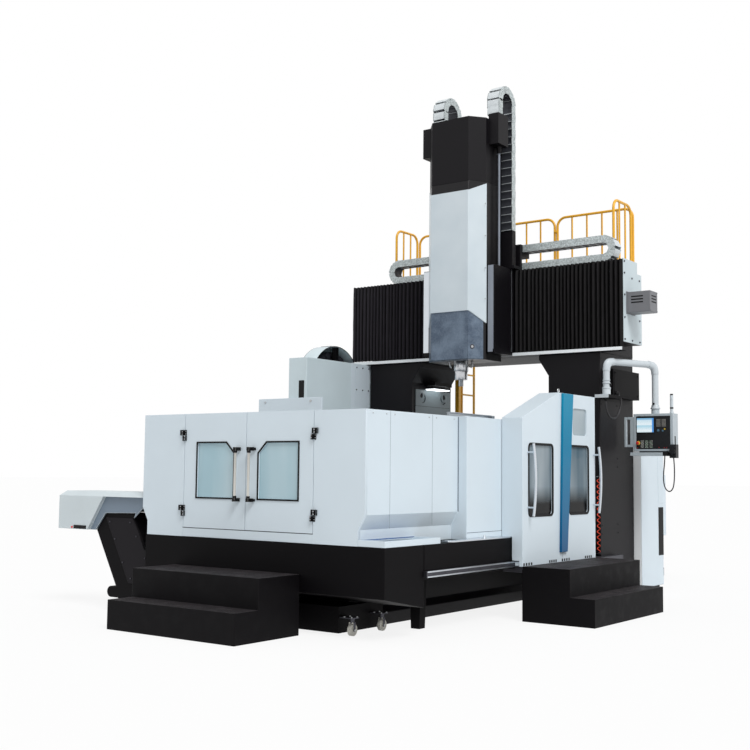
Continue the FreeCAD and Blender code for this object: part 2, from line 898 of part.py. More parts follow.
# Blue strip over the joint of the operator doors, carried by the front leaf
strip_outline = [
    ("-strip_low_a", "strip_low"),
    ("-strip_low_b", "strip_low"),
    ("-strip_top_b", "strip_high"),
    ("-strip_top_a", "strip_high"),
]
spacer_outline = [
    ("-strip_low_a", "strip_low"),
    ("-leaf_meet", "strip_low"),
    ("-leaf_meet", "strip_high"),
    ("-strip_top_a", "strip_high"),
]
node(
    "blue_strip",
    joined(
        [
            prism("YZ", strip_outline, "leaf_face + strip_gap", "leaf_face + strip_gap + strip_thick"),
            prism("YZ", spacer_outline, "leaf_face", "leaf_face + strip_gap + 1"),
        ]
    ),
)

# Rails: the slide rail on the gutter's side, and the track under the door leaves
node(
    "door_rails",
    grouped(
        [
            block(("gutter_side", "-bed_front + seat", "rail_low"), ("gutter_side + rail_width", "-rail_rear", "gutter_panel_low")),
            joined(
                [
                    block(
                        ("gutter_narrow_side", "-gutter_wide_rear", "track_low"),
                        ("leaf_face", "-column_half_depth", "leaf_low - run_gap"),
                    ),
                    block(
                        ("column_outer", "-gutter_wide_rear", "track_low"),
                        ("leaf_face", "-track_rear", "leaf_low - run_gap"),
                    ),
                ]
            ),
        ]
    ),
)


# Columns with gussets under the beam; the left one has a plate with two round vents on its inner side
def column(side):
    outline = [
        ("column_inner", "0"),
        ("column_outer", "0"),
        ("column_outer", "column_top"),
        ("column_inner - gusset_reach", "column_top"),
        ("column_inner - gusset_reach", "column_top - gusset_lip"),
        ("column_inner", "column_top - gusset_drop"),
    ]
    if side < 0:
        outline = [("-(%s)" % a, b) for a, b in outline]
    return prism("XZ", outline, "-column_half_depth", "column_half_depth")


vent_plate = block(
    ("-column_inner - 1", "-vent_front", "vent_low"),
    ("-column_inner + vent_proud", "vent_rear", "vent_high"),
)
vents = [
    rod(("-column_inner", vent_y, "(vent_low + vent_high) / 2"), "vent_radius", "vent_proud + 1", "x")
    for vent_y in ("-vent_front / 2 - vent_radius / 2", "vent_rear / 2 + vent_radius / 2")
]
node("column_left", joined([column(-1), cut(vent_plate, joined(vents))]))
fittings = []
for low in ("hose_low - fitting_height", "hose_high"):
    fittings.append(
        block(
            ("hose_x - hose_radius", "-hose_y - hose_radius", low),
            ("column_outer", "-column_half_depth + 1", "%s + fitting_height" % low),
        )
    )
node("column_right", joined([column(1)] + fittings))

# Beam: the box over the columns, the girder in front of it, its two ways and the chain tray
beam = [
    block(("-column_outer", "-beam_face", "column_top"), ("column_outer", "column_half_depth", "beam_top")),
    block(("-girder_half", "-girder_face", "girder_low"), ("girder_half", "girder_rear", "girder_high")),
    block(("-girder_half", "-tray_face", "girder_high - 1"), ("girder_half", "-tray_back", "tray_top")),
]
for low in ("girder_low + rail_bar_inset", "girder_high - rail_bar_inset - rail_bar"):
    beam.append(
        block(
            ("-girder_half", "-girder_face - rail_bar_depth", low),
            ("girder_half", "-girder_face", "%s + rail_bar" % low),
        )
    )
beam.append(
    block(
        ("-girder_half - end_plate", "-ledge_front", "ledge_low"),
        ("girder_half + end_plate", "-beam_face", "ledge_high"),
    )
)
node("beam", joined(beam))
end_outline = [
    ("-end_plate_front", "girder_low"),
    ("girder_rear", "girder_low"),
    ("girder_rear", "girder_high"),
    ("-end_plate_step", "girder_high"),
    ("-end_plate_step", "tray_top"),
    ("-end_plate_front", "tray_top"),
]
node(
    "beam_end_plates",
    grouped(
        [
            prism("YZ", end_outline, "-girder_half - end_plate", "-girder_half"),
            prism("YZ", end_outline, "girder_half", "girder_half + end_plate"),
        ]
    ),
)
node(
    "traverse_motor",
    block(
        ("girder_half + end_plate", "-motor_front", "motor_low"),
        ("girder_half + end_plate + motor_reach", "-motor_back", "motor_high"),
    ),
)

# Bellows: pleated sheets from each side of the saddle to the beam's ends
def pleats(start, end, count):
    front = -value("bellows_front")
    back = -value("bellows_back")
    thick = value("bellows_sheet")
    step = (end - start) / count
    face = [FreeCAD.Vector(start + step * i / 2, front if i % 2 else back - thick, 0) for i in range(2 * count + 1)]
    rear = [FreeCAD.Vector(p.x, p.y + thick, 0) for p in reversed(face)]
    outline = Part.makePolygon(face + rear + [face[0]])
    solid = Part.Face(outline).extrude(FreeCAD.Vector(0, 0, value("bellows_high - bellows_low")))
    solid.translate(FreeCAD.Vector(0, 0, value("bellows_low")))
    return drawn(solid)


beam_end = value("girder_half + end_plate")
saddle_left = value("saddle_x - saddle_half - seat")
saddle_right = value("saddle_x + saddle_half + seat")
node("bellows_left", pleats(-beam_end, saddle_left, 27))
node("bellows_right", pleats(saddle_right, beam_end, 26))

# Platform on the beam, railings round it and the ladder behind the left column
node(
    "platform",
    block(
        ("-column_outer", "-platform_front", "beam_top"),
        ("column_outer", "platform_rear", "beam_top + platform_thick"),
    ),
)


def bar(path, radius):
    """A round bar that follows a wire."""
    edge = path.Edges[0]
    circle = Part.makeCircle(radius, edge.valueAt(edge.FirstParameter), edge.tangentAt(edge.FirstParameter))
    return path.makePipeShell([Part.Wire([circle])], True, False)


def hoop(start, along, length, height, corner, radius):
    """An upturned U: two posts and a top bar with rounded corners."""
    up = FreeCAD.Vector(0, 0, 1)
    a = start
    b = start + up * (height - corner)
    c = start + up * height + along * corner
    d = start + up * height + along * (length - corner)
    e = start + up * (height - corner) + along * length
    f = start + along * length
    bend = corner * (1 - math.sqrt(0.5))
    middle_left = start + up * (height - bend) + along * bend
    middle_right = start + up * (height - bend) + along * (length - bend)
    edges = [
        Part.LineSegment(a, b).toShape(),
        Part.Arc(b, middle_left, c).toShape(),
        Part.LineSegment(c, d).toShape(),
        Part.Arc(d, middle_right, e).toShape(),
        Part.LineSegment(e, f).toShape(),
    ]
    return bar(Part.Wire(edges), radius)


def railing(start, along, length, panels, inner_bars):
    """Hoop panels in a row, each with upright bars and joined by short clamps."""
    radius = value("railing_radius")
    height = value("railing_height")
    corner = value("railing_corner")
    gap = 2.4 * radius
    width = (length - gap * (panels - 1)) / panels
    solids = []
    for panel in range(panels):
        origin = start + along * ((width + gap) * panel)
        shape = hoop(origin, along, width, height, corner, radius)
        for k in range(1, inner_bars + 1):
            foot = origin + along * (width * k / (inner_bars + 1))
            shape = shape.fuse(Part.makeCylinder(radius * 0.7, height, foot))
        low_bar = origin + FreeCAD.Vector(0, 0, 110)
        shape = shape.fuse(Part.makeCylinder(radius * 0.7, width, low_bar, along))
        if panel:
            for level in (0.35, 0.8):
                clamp = origin + FreeCAD.Vector(0, 0, height * level) - along * gap
                shape = shape.fuse(Part.makeCylinder(radius * 1.3, gap, clamp, along))
        solids.append(shape)
    whole = solids[0]
    for shape in solids[1:]:
        whole = whole.fuse(shape)
    return whole


floor = value("beam_top + platform_thick")
half = value("railing_half")
front_y = value("railing_front")
rear_y = value("railing_rear")
post = value("railing_radius")
side_length = rear_y - front_y - 4 * post
back_rail = railing(FreeCAD.Vector(-half, rear_y, floor), FreeCAD.Vector(1, 0, 0), 2 * half, 3, 4)
side_rails = [
    railing(FreeCAD.Vector(x, front_y, floor), FreeCAD.Vector(0, 1, 0), side_length, 1, 2) for x in (-half, half)
]
node("railings", grouped([drawn(back_rail)] + [drawn(shape) for shape in side_rails]))

ladder = [
    block(
        ("-ladder_x - ladder_post", "platform_rear", "0"),
        ("-ladder_x", "platform_rear + ladder_post", "ladder_top"),
    )
]
for y in ("ladder_front", "ladder_rear"):
    ladder.append(rod(("-ladder_x - ladder_post / 2", y, "0"), "railing_radius", "ladder_top"))
for rung in range(1, 16):
    ladder.append(
        rod(
            ("-ladder_x - ladder_post / 2", "platform_rear + ladder_post / 2", "%d * rung_pitch" % rung),
            "rung_radius",
            "ladder_rear - platform_rear - ladder_post / 2",
            "y",
        )
    )
node("ladder", joined(ladder))

# Saddle: a channel that rides on the girder and holds the ram between its cheeks
saddle_plan = [
    ("saddle_x - saddle_half", "-saddle_front"),
    ("saddle_x - slot_half", "-saddle_front"),
    ("saddle_x - slot_half", "-slot_back"),
    ("saddle_x + slot_half", "-slot_back"),
    ("saddle_x + slot_half", "-saddle_front"),
    ("saddle_x + saddle_half", "-saddle_front"),
    ("saddle_x + saddle_half", "-saddle_waist"),
    ("saddle_x - saddle_half", "-saddle_waist"),
]
way_gap = "girder_face + rail_bar_depth + seat"
saddle = [
    prism("XY", saddle_plan, "saddle_low", "saddle_top"),
    block(
        ("saddle_x - saddle_half", "-saddle_waist - 1", "saddle_waist_low"),
        ("saddle_x + saddle_half", "-(%s)" % way_gap, "saddle_top"),
    ),
]

# Guides on the saddle: strips on the cheeks' front edges and pads behind the ram
for side in (-1, 1):
    near, far = sided(side, "slot_half + 6", "slot_half + 6 + guide_strip_width")
    saddle.append(
        block(
            ("saddle_x + (%s)" % near, "-saddle_front - guide_strip", "saddle_low + 40"),
            ("saddle_x + (%s)" % far, "-saddle_front", "saddle_top - 40"),
        )
    )
    for low in ("saddle_low + 60", "saddle_top - 360"):
        near, far = sided(side, "slot_half - 180", "slot_half - 60")
        saddle.append(
            block(
                ("saddle_x + (%s)" % near, "-ram_back + seat", low),
                ("saddle_x + (%s)" % far, "-slot_back", "%s + 300" % low),
            )
        )
bore = rod(("saddle_x + rod_x", "-rod_y", "bore_low"), "rod_bore", "saddle_top - bore_low + 10")
node("saddle", cut(joined(saddle), bore))

# Ram, its white front cover and its black head
ram_plan = [
    ("saddle_x - ram_flat", "-ram_front"),
    ("saddle_x + ram_flat", "-ram_front"),
    ("saddle_x + ram_half", "-ram_shoulder"),
    ("saddle_x + ram_half", "-ram_back"),
    ("saddle_x - ram_half", "-ram_back"),
    ("saddle_x - ram_half", "-ram_shoulder"),
]
node("ram", prism("XY", ram_plan, "ram_low", "ram_split"))

# The cover is a folded sheet over the ram's front; its edges slant where they cross the chamfers
cover_plan = [
    ("saddle_x - ram_flat - cover_proud * 0.4", "-ram_front - cover_proud"),
    ("saddle_x + ram_flat + cover_proud * 0.4", "-ram_front - cover_proud"),
    ("saddle_x + ram_half + cover_proud * 0.7", "-ram_shoulder"),
    ("saddle_x + ram_half", "-ram_shoulder"),
    ("saddle_x + ram_flat", "-ram_front"),
    ("saddle_x - ram_flat", "-ram_front"),
    ("saddle_x - ram_half", "-ram_shoulder"),
    ("saddle_x - ram_half - cover_proud * 0.7", "-ram_shoulder"),
]
cover_side = [
    ("-ram_front - cover_proud - 1", "cover_low"),
    ("-ram_front", "cover_low"),
    ("-ram_shoulder + 1", "cover_low - cover_drop"),
    ("-ram_shoulder + 1", "ram_split + cover_rise"),
    ("-ram_front", "ram_split"),
    ("-ram_front - cover_proud - 1", "ram_split"),
]
node(
    "ram_cover",
    common(
        [
            prism("XY", cover_plan, "cover_low - cover_drop - 1", "ram_split + cover_rise + 1"),
            prism("YZ", cover_side, "saddle_x - ram_half - 100", "saddle_x + ram_half + 100"),
        ]
    ),
)

# Head: the ram's upper casing with a box on each side, the chain bracket and the balance rod
head_plan = [
    ("saddle_x + ram_half - 1", "-rod_y - 160"),
    ("saddle_x + chain_right + chain_width / 2", "-rod_y - 160"),
    ("saddle_x + chain_right + chain_width / 2", "-chain_front_y + chain_thick / 2 + 130"),
    ("saddle_x + ram_half - 1", "-chain_front_y + chain_thick / 2 + 130"),
]
rod_line = ("saddle_x + rod_x", "-rod_y")
head = [
    prism("XY", ram_plan, "ram_split", "ram_top"),
    prism("XY", head_plan, "ram_top - 330", "ram_top + 60"),
    block(
        ("saddle_x - ram_half - 70", "-ram_shoulder - 60", "ram_top - 400"),
        ("saddle_x - ram_flat", "-ram_shoulder + 130", "ram_top - 20"),
    ),
    rod(rod_line + ("ram_top - 420",), "rod_radius * 2", "100"),
    rod(rod_line + ("rod_tip",), "rod_radius", "ram_top - 330 - rod_tip"),
]
node("ram_head", joined(head))

# Spindle: the nose housing belongs to the ram's foot, the spindle turns in front of it
node("spindle_nose", rod(("saddle_x", "-(ram_front + ram_back) / 2", "nose_low"), "nose_radius", "ram_low - nose_low"))
spindle = joined(
    [
        rod(
            ("saddle_x", "-(ram_front + ram_back) / 2", "spindle_low"),
            "spindle_radius",
            "nose_low - seat - spindle_low",
        ),
        rod(("saddle_x", "-(ram_front + ram_back) / 2", "holder_low"), "holder_radius", "spindle_low - holder_low + 1"),
    ]
)
tool_bore = rod(("saddle_x", "-(ram_front + ram_back) / 2", "holder_low - 1"), "tool_radius", "tool_depth + 1")
node("spindle", cut(spindle, tool_bore))


# Energy chains: a row of links that follows a path, narrower between one link and the next
def chain(points, width_axis, width, thick, waist, pitch):
    """points gives the position and outward normal at a distance along the chain."""
    length = points(None)
    count = max(2, round(length / pitch))
    step = length / count
    profile = []
    for i in range(count):
        for share, half in ((0.03, waist / 2), (0.06, thick / 2), (0.94, thick / 2), (0.97, waist / 2)):
            profile.append(((i + share) * step, half))
    profile[0] = (0, thick / 2)
    profile[-1] = (length, thick / 2)
    outer = []
    inner = []
    for distance, half in profile:
        position, normal = points(distance)
        outer.append(position + normal * half)
        inner.append(position - normal * half)
    outline = outer + inner[::-1]
    solid = Part.Face(Part.makePolygon(outline + [outline[0]])).extrude(width_axis * width)
    solid.translate(width_axis * (-width / 2))
    return drawn(solid)


def loop_path(first, up, across, first_leg, bend, second_leg):
    """Up the first leg, round the bend towards across, and down the second leg."""
    arc = math.pi * bend

    def at(distance):
        if distance is None:
            return first_leg + arc + second_leg
        if distance < first_leg:
            return first + up * distance, across * -1
        if distance < first_leg + arc:
            angle = (distance - first_leg) / bend
            centre = first + up * first_leg + across * bend
            normal = up * math.sin(angle) - across * math.cos(angle)
            return centre + normal * bend, normal
        rest = distance - first_leg - arc
        return first + across * (2 * bend) + up * (first_leg - rest), across

    return at


width = value("chain_width")
thick = value("chain_thick")
waist = value("chain_waist")
pitch = value("chain_pitch")
bend = value("chain_bend")
bend_centre = value("chain_top") - thick / 2 - bend
leg_y = -value("chain_front_y")
bracket_top = value("bracket_top")
AXIS_X = FreeCAD.Vector(1, 0, 0)
AXIS_Y = FreeCAD.Vector(0, 1, 0)
AXIS_Z = FreeCAD.Vector(0, 0, 1)
upright = []
for offset, foot in ((value("chain_right"), value("ram_top + 60 + seat")), (-value("chain_left"), value("ram_top + seat"))):
    start = FreeCAD.Vector(value("saddle_x") + offset, leg_y, foot)
    path = loop_path(start, AXIS_Z, AXIS_Y, bend_centre - foot, bend, bend_centre - bracket_top)
    upright.append(chain(path, AXIS_X, width, thick, waist, pitch))
node("vertical_chains", grouped(upright))

run_bend = value("run_bend")
run_z = value("tray_top + seat + chain_thick / 2 + 2 * run_bend")
run_y = -value("run_front") + width / 2
level = []
for side, end in ((1, value("run_right_end")), (-1, value("run_left_end"))):
    start = FreeCAD.Vector(value("saddle_x") + side * value("saddle_half + bracket_overhang + seat"), run_y, run_z)
    out = AXIS_X * side
    bend_x = end - thick / 2 - run_bend
    path = loop_path(start, out, AXIS_Z * -1, bend_x - side * start.x, run_bend, bend_x - value("run_fixed_end"))
    level.append(chain(path, AXIS_Y, width, thick, waist, pitch))
node("horizontal_chains", grouped(level))

# Brackets on the saddle's top that carry the four chains, with the ram's drive motor between them
chain_back_y = "-chain_front_y + 2 * chain_bend"
bracket_back = "-tray_face - run_gap"
run_head = "tray_top + seat + chain_thick + 2 * run_bend"
brackets = []
for side, offset in ((1, "chain_right"), (-1, "-chain_left")):
    middle = "saddle_x + %s" % offset
    left, right = sided(side, "saddle_half - bracket_inset", "saddle_half + bracket_overhang")
    brackets.append(
        joined(
            [
                block(
                    (middle + " - chain_width / 2", chain_back_y + " - chain_thick / 2 + 10", "saddle_top"),
                    (middle + " + chain_width / 2", chain_back_y + " + chain_thick / 2", "bracket_top - 6"),
                ),
                block(
                    ("saddle_x + (%s)" % left, "-saddle_waist - bracket_foot", "saddle_top"),
                    ("saddle_x + (%s)" % right, bracket_back, "saddle_top + bracket_foot"),
                ),
                block(
                    ("saddle_x + (%s)" % left, bracket_back + " - bracket_foot", "saddle_top"),
                    ("saddle_x + (%s)" % right, bracket_back, run_head),
                ),
                block(
                    ("saddle_x + (%s)" % left, bracket_back + " - 1", run_head + " - chain_thick * 1.6"),
                    ("saddle_x + (%s)" % right, "-run_front + chain_width", run_head),
                ),
                block(
                    ("saddle_x + (%s)" % left, chain_back_y + " - chain_thick / 2 + 10", "saddle_top"),
                    ("saddle_x + (%s)" % right, "-saddle_waist + bracket_foot", "saddle_top + bracket_foot"),
                ),
            ]
        )
    )
brackets.append(
    joined(
        [
            rod(("saddle_x + 60", "-slot_back + 90", "saddle_top"), "60", "380"),
            block(
                ("saddle_x - 40", "-slot_back + 10", "saddle_top"),
                ("saddle_x + 160", "-slot_back + 140", "saddle_top + 60"),
            ),
        ]
    )
)
node("saddle_brackets", grouped(brackets))

# Tool magazine: a drum with its ring of closed tool pots in an open-sided round case, and the changer
# between it and the column
case_left = "-magazine_x - magazine_half"
case = cut(
    rod((case_left, "-magazine_y", "magazine_z"), "magazine_radius", "2 * magazine_half", "x"),
    rod(
        (case_left + " + magazine_sheet", "-magazine_y", "magazine_z"),
        "magazine_radius - magazine_sheet",
        "2 * magazine_half",
        "x",
    ),
)
hub = rod((case_left + " + magazine_sheet - 1", "-magazine_y", "magazine_z"), "60", "31", "x")
drum_left = case_left + " + magazine_sheet + 30 + seat"
drum_face = drum_left + " + drum_thick - 1"
drum = [
    rod((drum_left, "-magazine_y", "magazine_z"), "magazine_radius - magazine_sheet - drum_clear", "drum_thick", "x"),
    rod((drum_face, "-magazine_y", "magazine_z"), "drum_hub", "drum_hub / 2", "x"),
]
for index in range(24):
    angle = math.tau * index / 24
    y = "-magazine_y + pot_circle * %.6f" % math.cos(angle)
    z = "magazine_z + pot_circle * %.6f" % math.sin(angle)
    drum.append(rod((drum_face, y, z), "pot_radius", "pot_proud + 1", "x"))
node("magazine_drum", joined(drum))
node(
    "magazine_housing",
    joined(
        [
            case,
            hub,
            block(
                ("-changer_left", "-changer_front", "changer_low"),
                ("-changer_right", "-column_half_depth + 100", "changer_high"),
            ),
            block(
                ("-magazine_x - magazine_half - 60", "-column_half_depth + 200", "changer_low + 200"),
                ("-column_outer", "column_half_depth", "changer_high - 200"),
            ),
            block(
                ("-magazine_x - magazine_half - 60", "-magazine_y - 150", "changer_low + 200"),
                ("-magazine_x - magazine_half", "-column_half_depth + 201", "changer_high - 200"),
            ),
            block(
                ("-changer_left", "-column_half_depth + 99", "changer_low + 200"),
                ("-changer_right", "-column_half_depth + 201", "changer_high - 200"),
            ),
        ]
    ),
)
node(
    "changer_guard",
    joined(
        [
            block(
                ("-guard_panel_left", "-guard_panel_front", "guard_panel_low"),
                ("-guard_panel_right", "-guard_panel_front + wall_thick", "guard_panel_high"),
            ),
            block(
                ("-guard_panel_left", "-guard_panel_front", "guard_panel_low"),
                ("-guard_panel_left + wall_thick", "-column_half_depth", "guard_panel_high - 330"),
            ),
            block(
                ("-guard_panel_left", "-column_half_depth - wall_thick", "guard_panel_low"),
                ("-column_outer + 200", "-column_half_depth", "guard_panel_high - 330"),
            ),
        ]
    ),
)

# Work lamp high on the left column's inner side: a bracket and a flat lamp box
node(
    "work_lamp",
    joined(
        [
            block(
                ("-column_inner", "-lamp_half_width + 60", "lamp_height - lamp_bracket"),
                ("-column_inner + lamp_reach * 0.6", "lamp_half_width - 60", "lamp_height + 1"),
            ),
            block(
                ("-column_inner + 20", "-lamp_half_width", "lamp_height"),
                ("-column_inner + lamp_reach", "lamp_half_width", "lamp_height + lamp_thick"),
            ),
        ]
    ),
)

# Electrical cabinet behind the right column, with its cooler
node(
    "electrical_cabinet",
    joined(
        [
            block(
                ("cabinet_left + 40", "cabinet_front + 40", "0"),
                ("cabinet_right - 40", "cabinet_rear - 40", "cabinet_base"),
            ),
            block(("cabinet_left", "cabinet_front", "cabinet_base"), ("cabinet_right", "cabinet_rear", "cabinet_top")),
            block(
                ("cabinet_left + 80", "column_half_depth + seat", "cabinet_base + 200"),
                ("cabinet_left + 200", "cabinet_front + 1", "cabinet_base + 260"),
            ),
            block(
                ("cabinet_left + 80", "column_half_depth + seat", "cabinet_top - 260"),
                ("cabinet_left + 200", "cabinet_front + 1", "cabinet_top - 200"),
            ),
            block(
                ("cabinet_left + 60", "cabinet_rear", "cooler_low"),
                ("cabinet_right - 20", "cabinet_rear + cooler_depth", "cabinet_top - 20"),
            ),
            block(
                ("cabinet_left + 100", "cabinet_rear", "cabinet_base + 380"),
                ("cabinet_right - 60", "cabinet_rear + cooler_depth / 2", "cooler_low - 50"),
            ),
        ]
    ),
)

# Junction box and the base of the pendant arm, on the right column's side
node(
    "arm_base",
    joined(
        [
            block(
                ("column_outer", "-junction_front", "junction_low"),
                ("column_outer + junction_depth", "junction_rear", "junction_high"),
            ),
            block(
                ("column_outer", "-arm_y - arm_socket", "arm_base_low"),
                ("arm_x + arm_socket", "-junction_front + 60", "arm_base_low + arm_base_thick"),
            ),
            block(
                ("column_outer", "-junction_front - 10", "arm_base_low"),
                ("column_outer + junction_depth", "-junction_front + 60", "junction_low + 1"),
            ),
            rod(("arm_x", "-arm_y", "arm_base_low + arm_base_thick - 1"), "arm_socket", "arm_joint + 1"),
        ]
    ),
)

# Pendant arm: an upright, a level tube and a drop tube, with a ball elbow at each turn
arm_yaw = "-atan((pendant_x - arm_x) / (arm_y - pendant_y))"
arm_length = "sqrt((pendant_x - arm_x) * (pendant_x - arm_x) + (arm_y - pendant_y) * (arm_y - pendant_y))"


def ball(centre, radius):
    piece = doc.addObject("Part::Sphere", "ball")
    piece.setExpression("Radius", bound(radius))
    return place(piece, centre)


arm_foot = "arm_base_low + arm_base_thick + arm_joint + seat"
arm_height = "(arm_base_low + arm_rise)"
arm = joined(
    [
        rod(("0", "0", arm_foot), "arm_tube", "%s - (%s)" % (arm_height, arm_foot)),
        rod(("0", "0", arm_foot), "arm_socket", "50"),
        rod(("0", "0", arm_height), "arm_tube", arm_length, "y"),
        rod(("0", arm_length, "pendant_drop + seat"), "arm_tube", arm_height + " - pendant_drop - seat"),
        ball(("0", "0", arm_height), "arm_tube * 1.35"),
        ball(("0", arm_length, arm_height), "arm_tube * 1.35"),
    ]
)
place(arm, ("arm_x", "-arm_y", "0"))
arm.Placement.Rotation = FreeCAD.Rotation(AXIS_Z, 1)
arm.setExpression("Placement.Rotation.Angle", bound(arm_yaw))
node("pendant_arm", arm)

# Pendant: the control box, its key tray, side handle and mounting flange
pendant = joined(
    [
        block(("-pendant_half", "-pendant_depth / 2", "pendant_low"), ("pendant_half", "pendant_depth / 2", "pendant_high")),
        rod(("0", "0", "pendant_high - 1"), "arm_socket", "pendant_drop - pendant_high + 1"),
        block(
            ("-pendant_half + 15", "-pendant_depth / 2 - 150", "pendant_low - 60"),
            ("pendant_half - 30", "pendant_depth / 2", "pendant_low - 20"),
        ),
        block(
            ("-pendant_half + 60", "-pendant_depth / 2 + 20", "pendant_low - 21"),
            ("pendant_half - 60", "pendant_depth / 2 - 20", "pendant_low + 1"),
        ),
        rod(("-pendant_half - handle_reach", "-pendant_depth / 2 + 10", "pendant_low + 55"), "11", "pendant_high - pendant_low - 95"),
        rod(("-pendant_half - handle_reach", "-pendant_depth / 2 + 10", "pendant_low + 65"), "9", "handle_reach + 5", "x"),
        rod(("-pendant_half - handle_reach", "-pendant_depth / 2 + 10", "pendant_high - 50"), "9", "handle_reach + 5", "x"),
        block(
            ("pendant_half - 20", "-pendant_depth / 2 - 60", "hand_unit_low"),
            ("pendant_half + 60", "-pendant_depth / 2 + 20", "hand_unit_low + 160"),
        ),
        rod(("pendant_half + 20", "-pendant_depth / 2 - 85", "hand_unit_low + 75"), "36", "30", "y"),
        rod(("pendant_half - 40", "0", "pendant_high - 1"), "18", "240"),
    ]
)
place(pendant, ("pendant_x", "-pendant_y", "0"))
node("pendant", pendant)

# Cords: straight runs joined by arcs that are as large as the runs allow
def cord(name, points, radius):
    path = [FreeCAD.Vector(*point) for point in points]
    edges = []
    start = path[0]
    for before, corner, after in zip(path, path[1:], path[2:]):
        reach = 0.45 * min((corner - before).Length, (after - corner).Length)
        into = (corner - before).normalize()
        out = (after - corner).normalize()
        half_turn = into.getAngle(out) / 2
        bend_radius = reach / math.tan(half_turn)
        inward = (out - into).normalize()
        middle = corner + inward * (bend_radius / math.cos(half_turn) - bend_radius)
        edges.append(Part.LineSegment(start, corner - into * reach).toShape())
        edges.append(Part.Arc(corner - into * reach, middle, corner + out * reach).toShape())
        start = corner + out * reach
        print("%s bends at radius %.0f" % (name, bend_radius))
    edges.append(Part.LineSegment(start, path[-1]).toShape())
    wire = Part.Wire(edges)
    tube = bar(wire, radius)
    print("%s volume %.3f of section times length" % (name, tube.Volume / (math.pi * radius**2 * wire.Length)))
    return node(name, drawn(tube))


# Cable between the arm's base and the junction box, in the machine's own axes
cord(
    "arm_cable",
    [
        (1822, -590, 2395),
        (1824, -602, 2300),
        (1828, -560, 2205),
        (1832, -450, 2150),
        (1834, -325, 2172),
        (1840, -245, 2265),
        (1850, -225, 2360),
        (1838, -226, 2440),
        (1795, -228, 2465),
    ],
    value("arm_cable_radius"),
)

# Cable of the hand unit, which hangs from the key tray
cord(
    "hand_cable",
    [
        (2273, 60, 1725),
        (2269, 60, 1640),
        (2256, 60, 1540),
        (2252, 58, 1430),
        (2274, 56, 1335),
        (2329, 55, 1295),
        (2374, 56, 1340),
        (2388, 58, 1440),
        (2390, 60, 1540),
        (2388, 60, 1625),
        (2382, 60, 1700),
    ],
    value("hand_cable_radius"),
)

# Coiled air hose between two fittings on the right column, as the cylinder that it fills
node("air_hose", rod(("hose_x", "-hose_y", "hose_low"), "hose_radius", "hose_high - hose_low"))

# Chip conveyor: an inclined chute out of the left side with its shaft housing at the foot, and a white
# hood over its head, which sits on two cheeks beside the chute
chute_outline = [
    ("-housing_left", "chute_mouth_low"),
    ("-housing_left", "chute_mouth_high"),
    ("-chute_root", "chute_root_low"),
    ("-chute_shoulder", "chute_shoulder_low"),
    ("-chute_lip", "chute_lip_low"),
    ("-chute_head_right", "chute_head_top"),
    ("-chute_head_left", "chute_head_top"),
    ("-chute_back", "chute_back_low"),
    ("-chute_foot", "chute_foot_low"),
    ("-chute_toe", "chute_toe_low"),
    ("-chute_heel", "chute_toe_low"),
]
shaft = rod(("-shaft_x", "-chute_front", "shaft_z"), "shaft_radius", "chute_front - chute_rear", "y")
web = block(("-shaft_x", "-chute_front", "shaft_z - shaft_radius"), ("-chute_toe", "-chute_rear", "shaft_z + shaft_radius"))
node("chip_conveyor", joined([prism("XZ", chute_outline, "-chute_front", "-chute_rear"), shaft, web]))

hood_outline = [
    ("-hood_left", "hood_low"),
    ("-hood_slant_low", "hood_low"),
    ("-hood_slant_high", "hood_shoulder"),
    ("-wall_half - run_gap", "hood_shoulder"),
    ("-wall_half - run_gap", "hood_high"),
    ("-hood_left + hood_chamfer", "hood_high"),
    ("-hood_left", "hood_shoulder"),
]
hood_section = [
    ("-chute_front - hood_overlap", "hood_low - 1"),
    ("-chute_rear + hood_overlap", "hood_low - 1"),
    ("-chute_rear + hood_overlap", "hood_shoulder"),
    ("-chute_rear + hood_overlap - hood_chamfer", "hood_high"),
    ("-chute_front - hood_overlap + hood_chamfer", "hood_high"),
    ("-chute_front - hood_overlap", "hood_shoulder"),
]
cheek_outline = [
    ("-hood_slant_low - 1", "hood_low"),
    ("-chute_back + seat", "hood_low"),
    ("-cheek_throat", "chute_head_top + seat"),
    ("-cheek_corner", "cheek_corner_low"),
    ("-cheek_tip", "cheek_tip_low"),
    ("-wall_half - hood_overlap", "cheek_side_low"),
    ("-wall_half - run_gap", "hood_shoulder + 1"),
    ("-hood_slant_high", "hood_shoulder + 1"),
]
hood = [
    common(
        [
            prism("XZ", hood_outline, "-chute_front - hood_overlap", "-chute_rear + hood_overlap"),
            prism("YZ", hood_section, "-hood_left", "-wall_half - run_gap"),
        ]
    ),
    prism("XZ", cheek_outline, "-chute_front - seat - cheek_thick", "-chute_front - seat"),
    prism("XZ", cheek_outline, "-chute_rear + seat", "-chute_rear + seat + cheek_thick"),
]
node("conveyor_hood", joined(hood))

doc.recompute()
for piece in doc.Objects:
    if "Invalid" in piece.State or "Error" in piece.State:
        raise RuntimeError("%s (%s) failed: %s" % (piece.Name, piece.Label, piece.State))
for piece in nodes:
    if piece.Shape.isNull() or not piece.Shape.isValid():
        raise RuntimeError("%s has no valid shape" % piece.Label)

os.makedirs("parts", exist_ok=True)
for piece in nodes:
    piece.Shape.exportStep("parts/%s.step" % piece.Label)
    box = piece.Shape.BoundBox
    print(
        "%-22s solids %d  x %6.0f %6.0f  y %6.0f %6.0f  z %6.0f %6.0f"
        % (piece.Label, len(piece.Shape.Solids), box.XMin, box.XMax, box.YMin, box.YMax, box.ZMin, box.ZMax)
    )
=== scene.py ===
import json
import math
import random

import bmesh
import bpy
from mathutils import Matrix, Vector


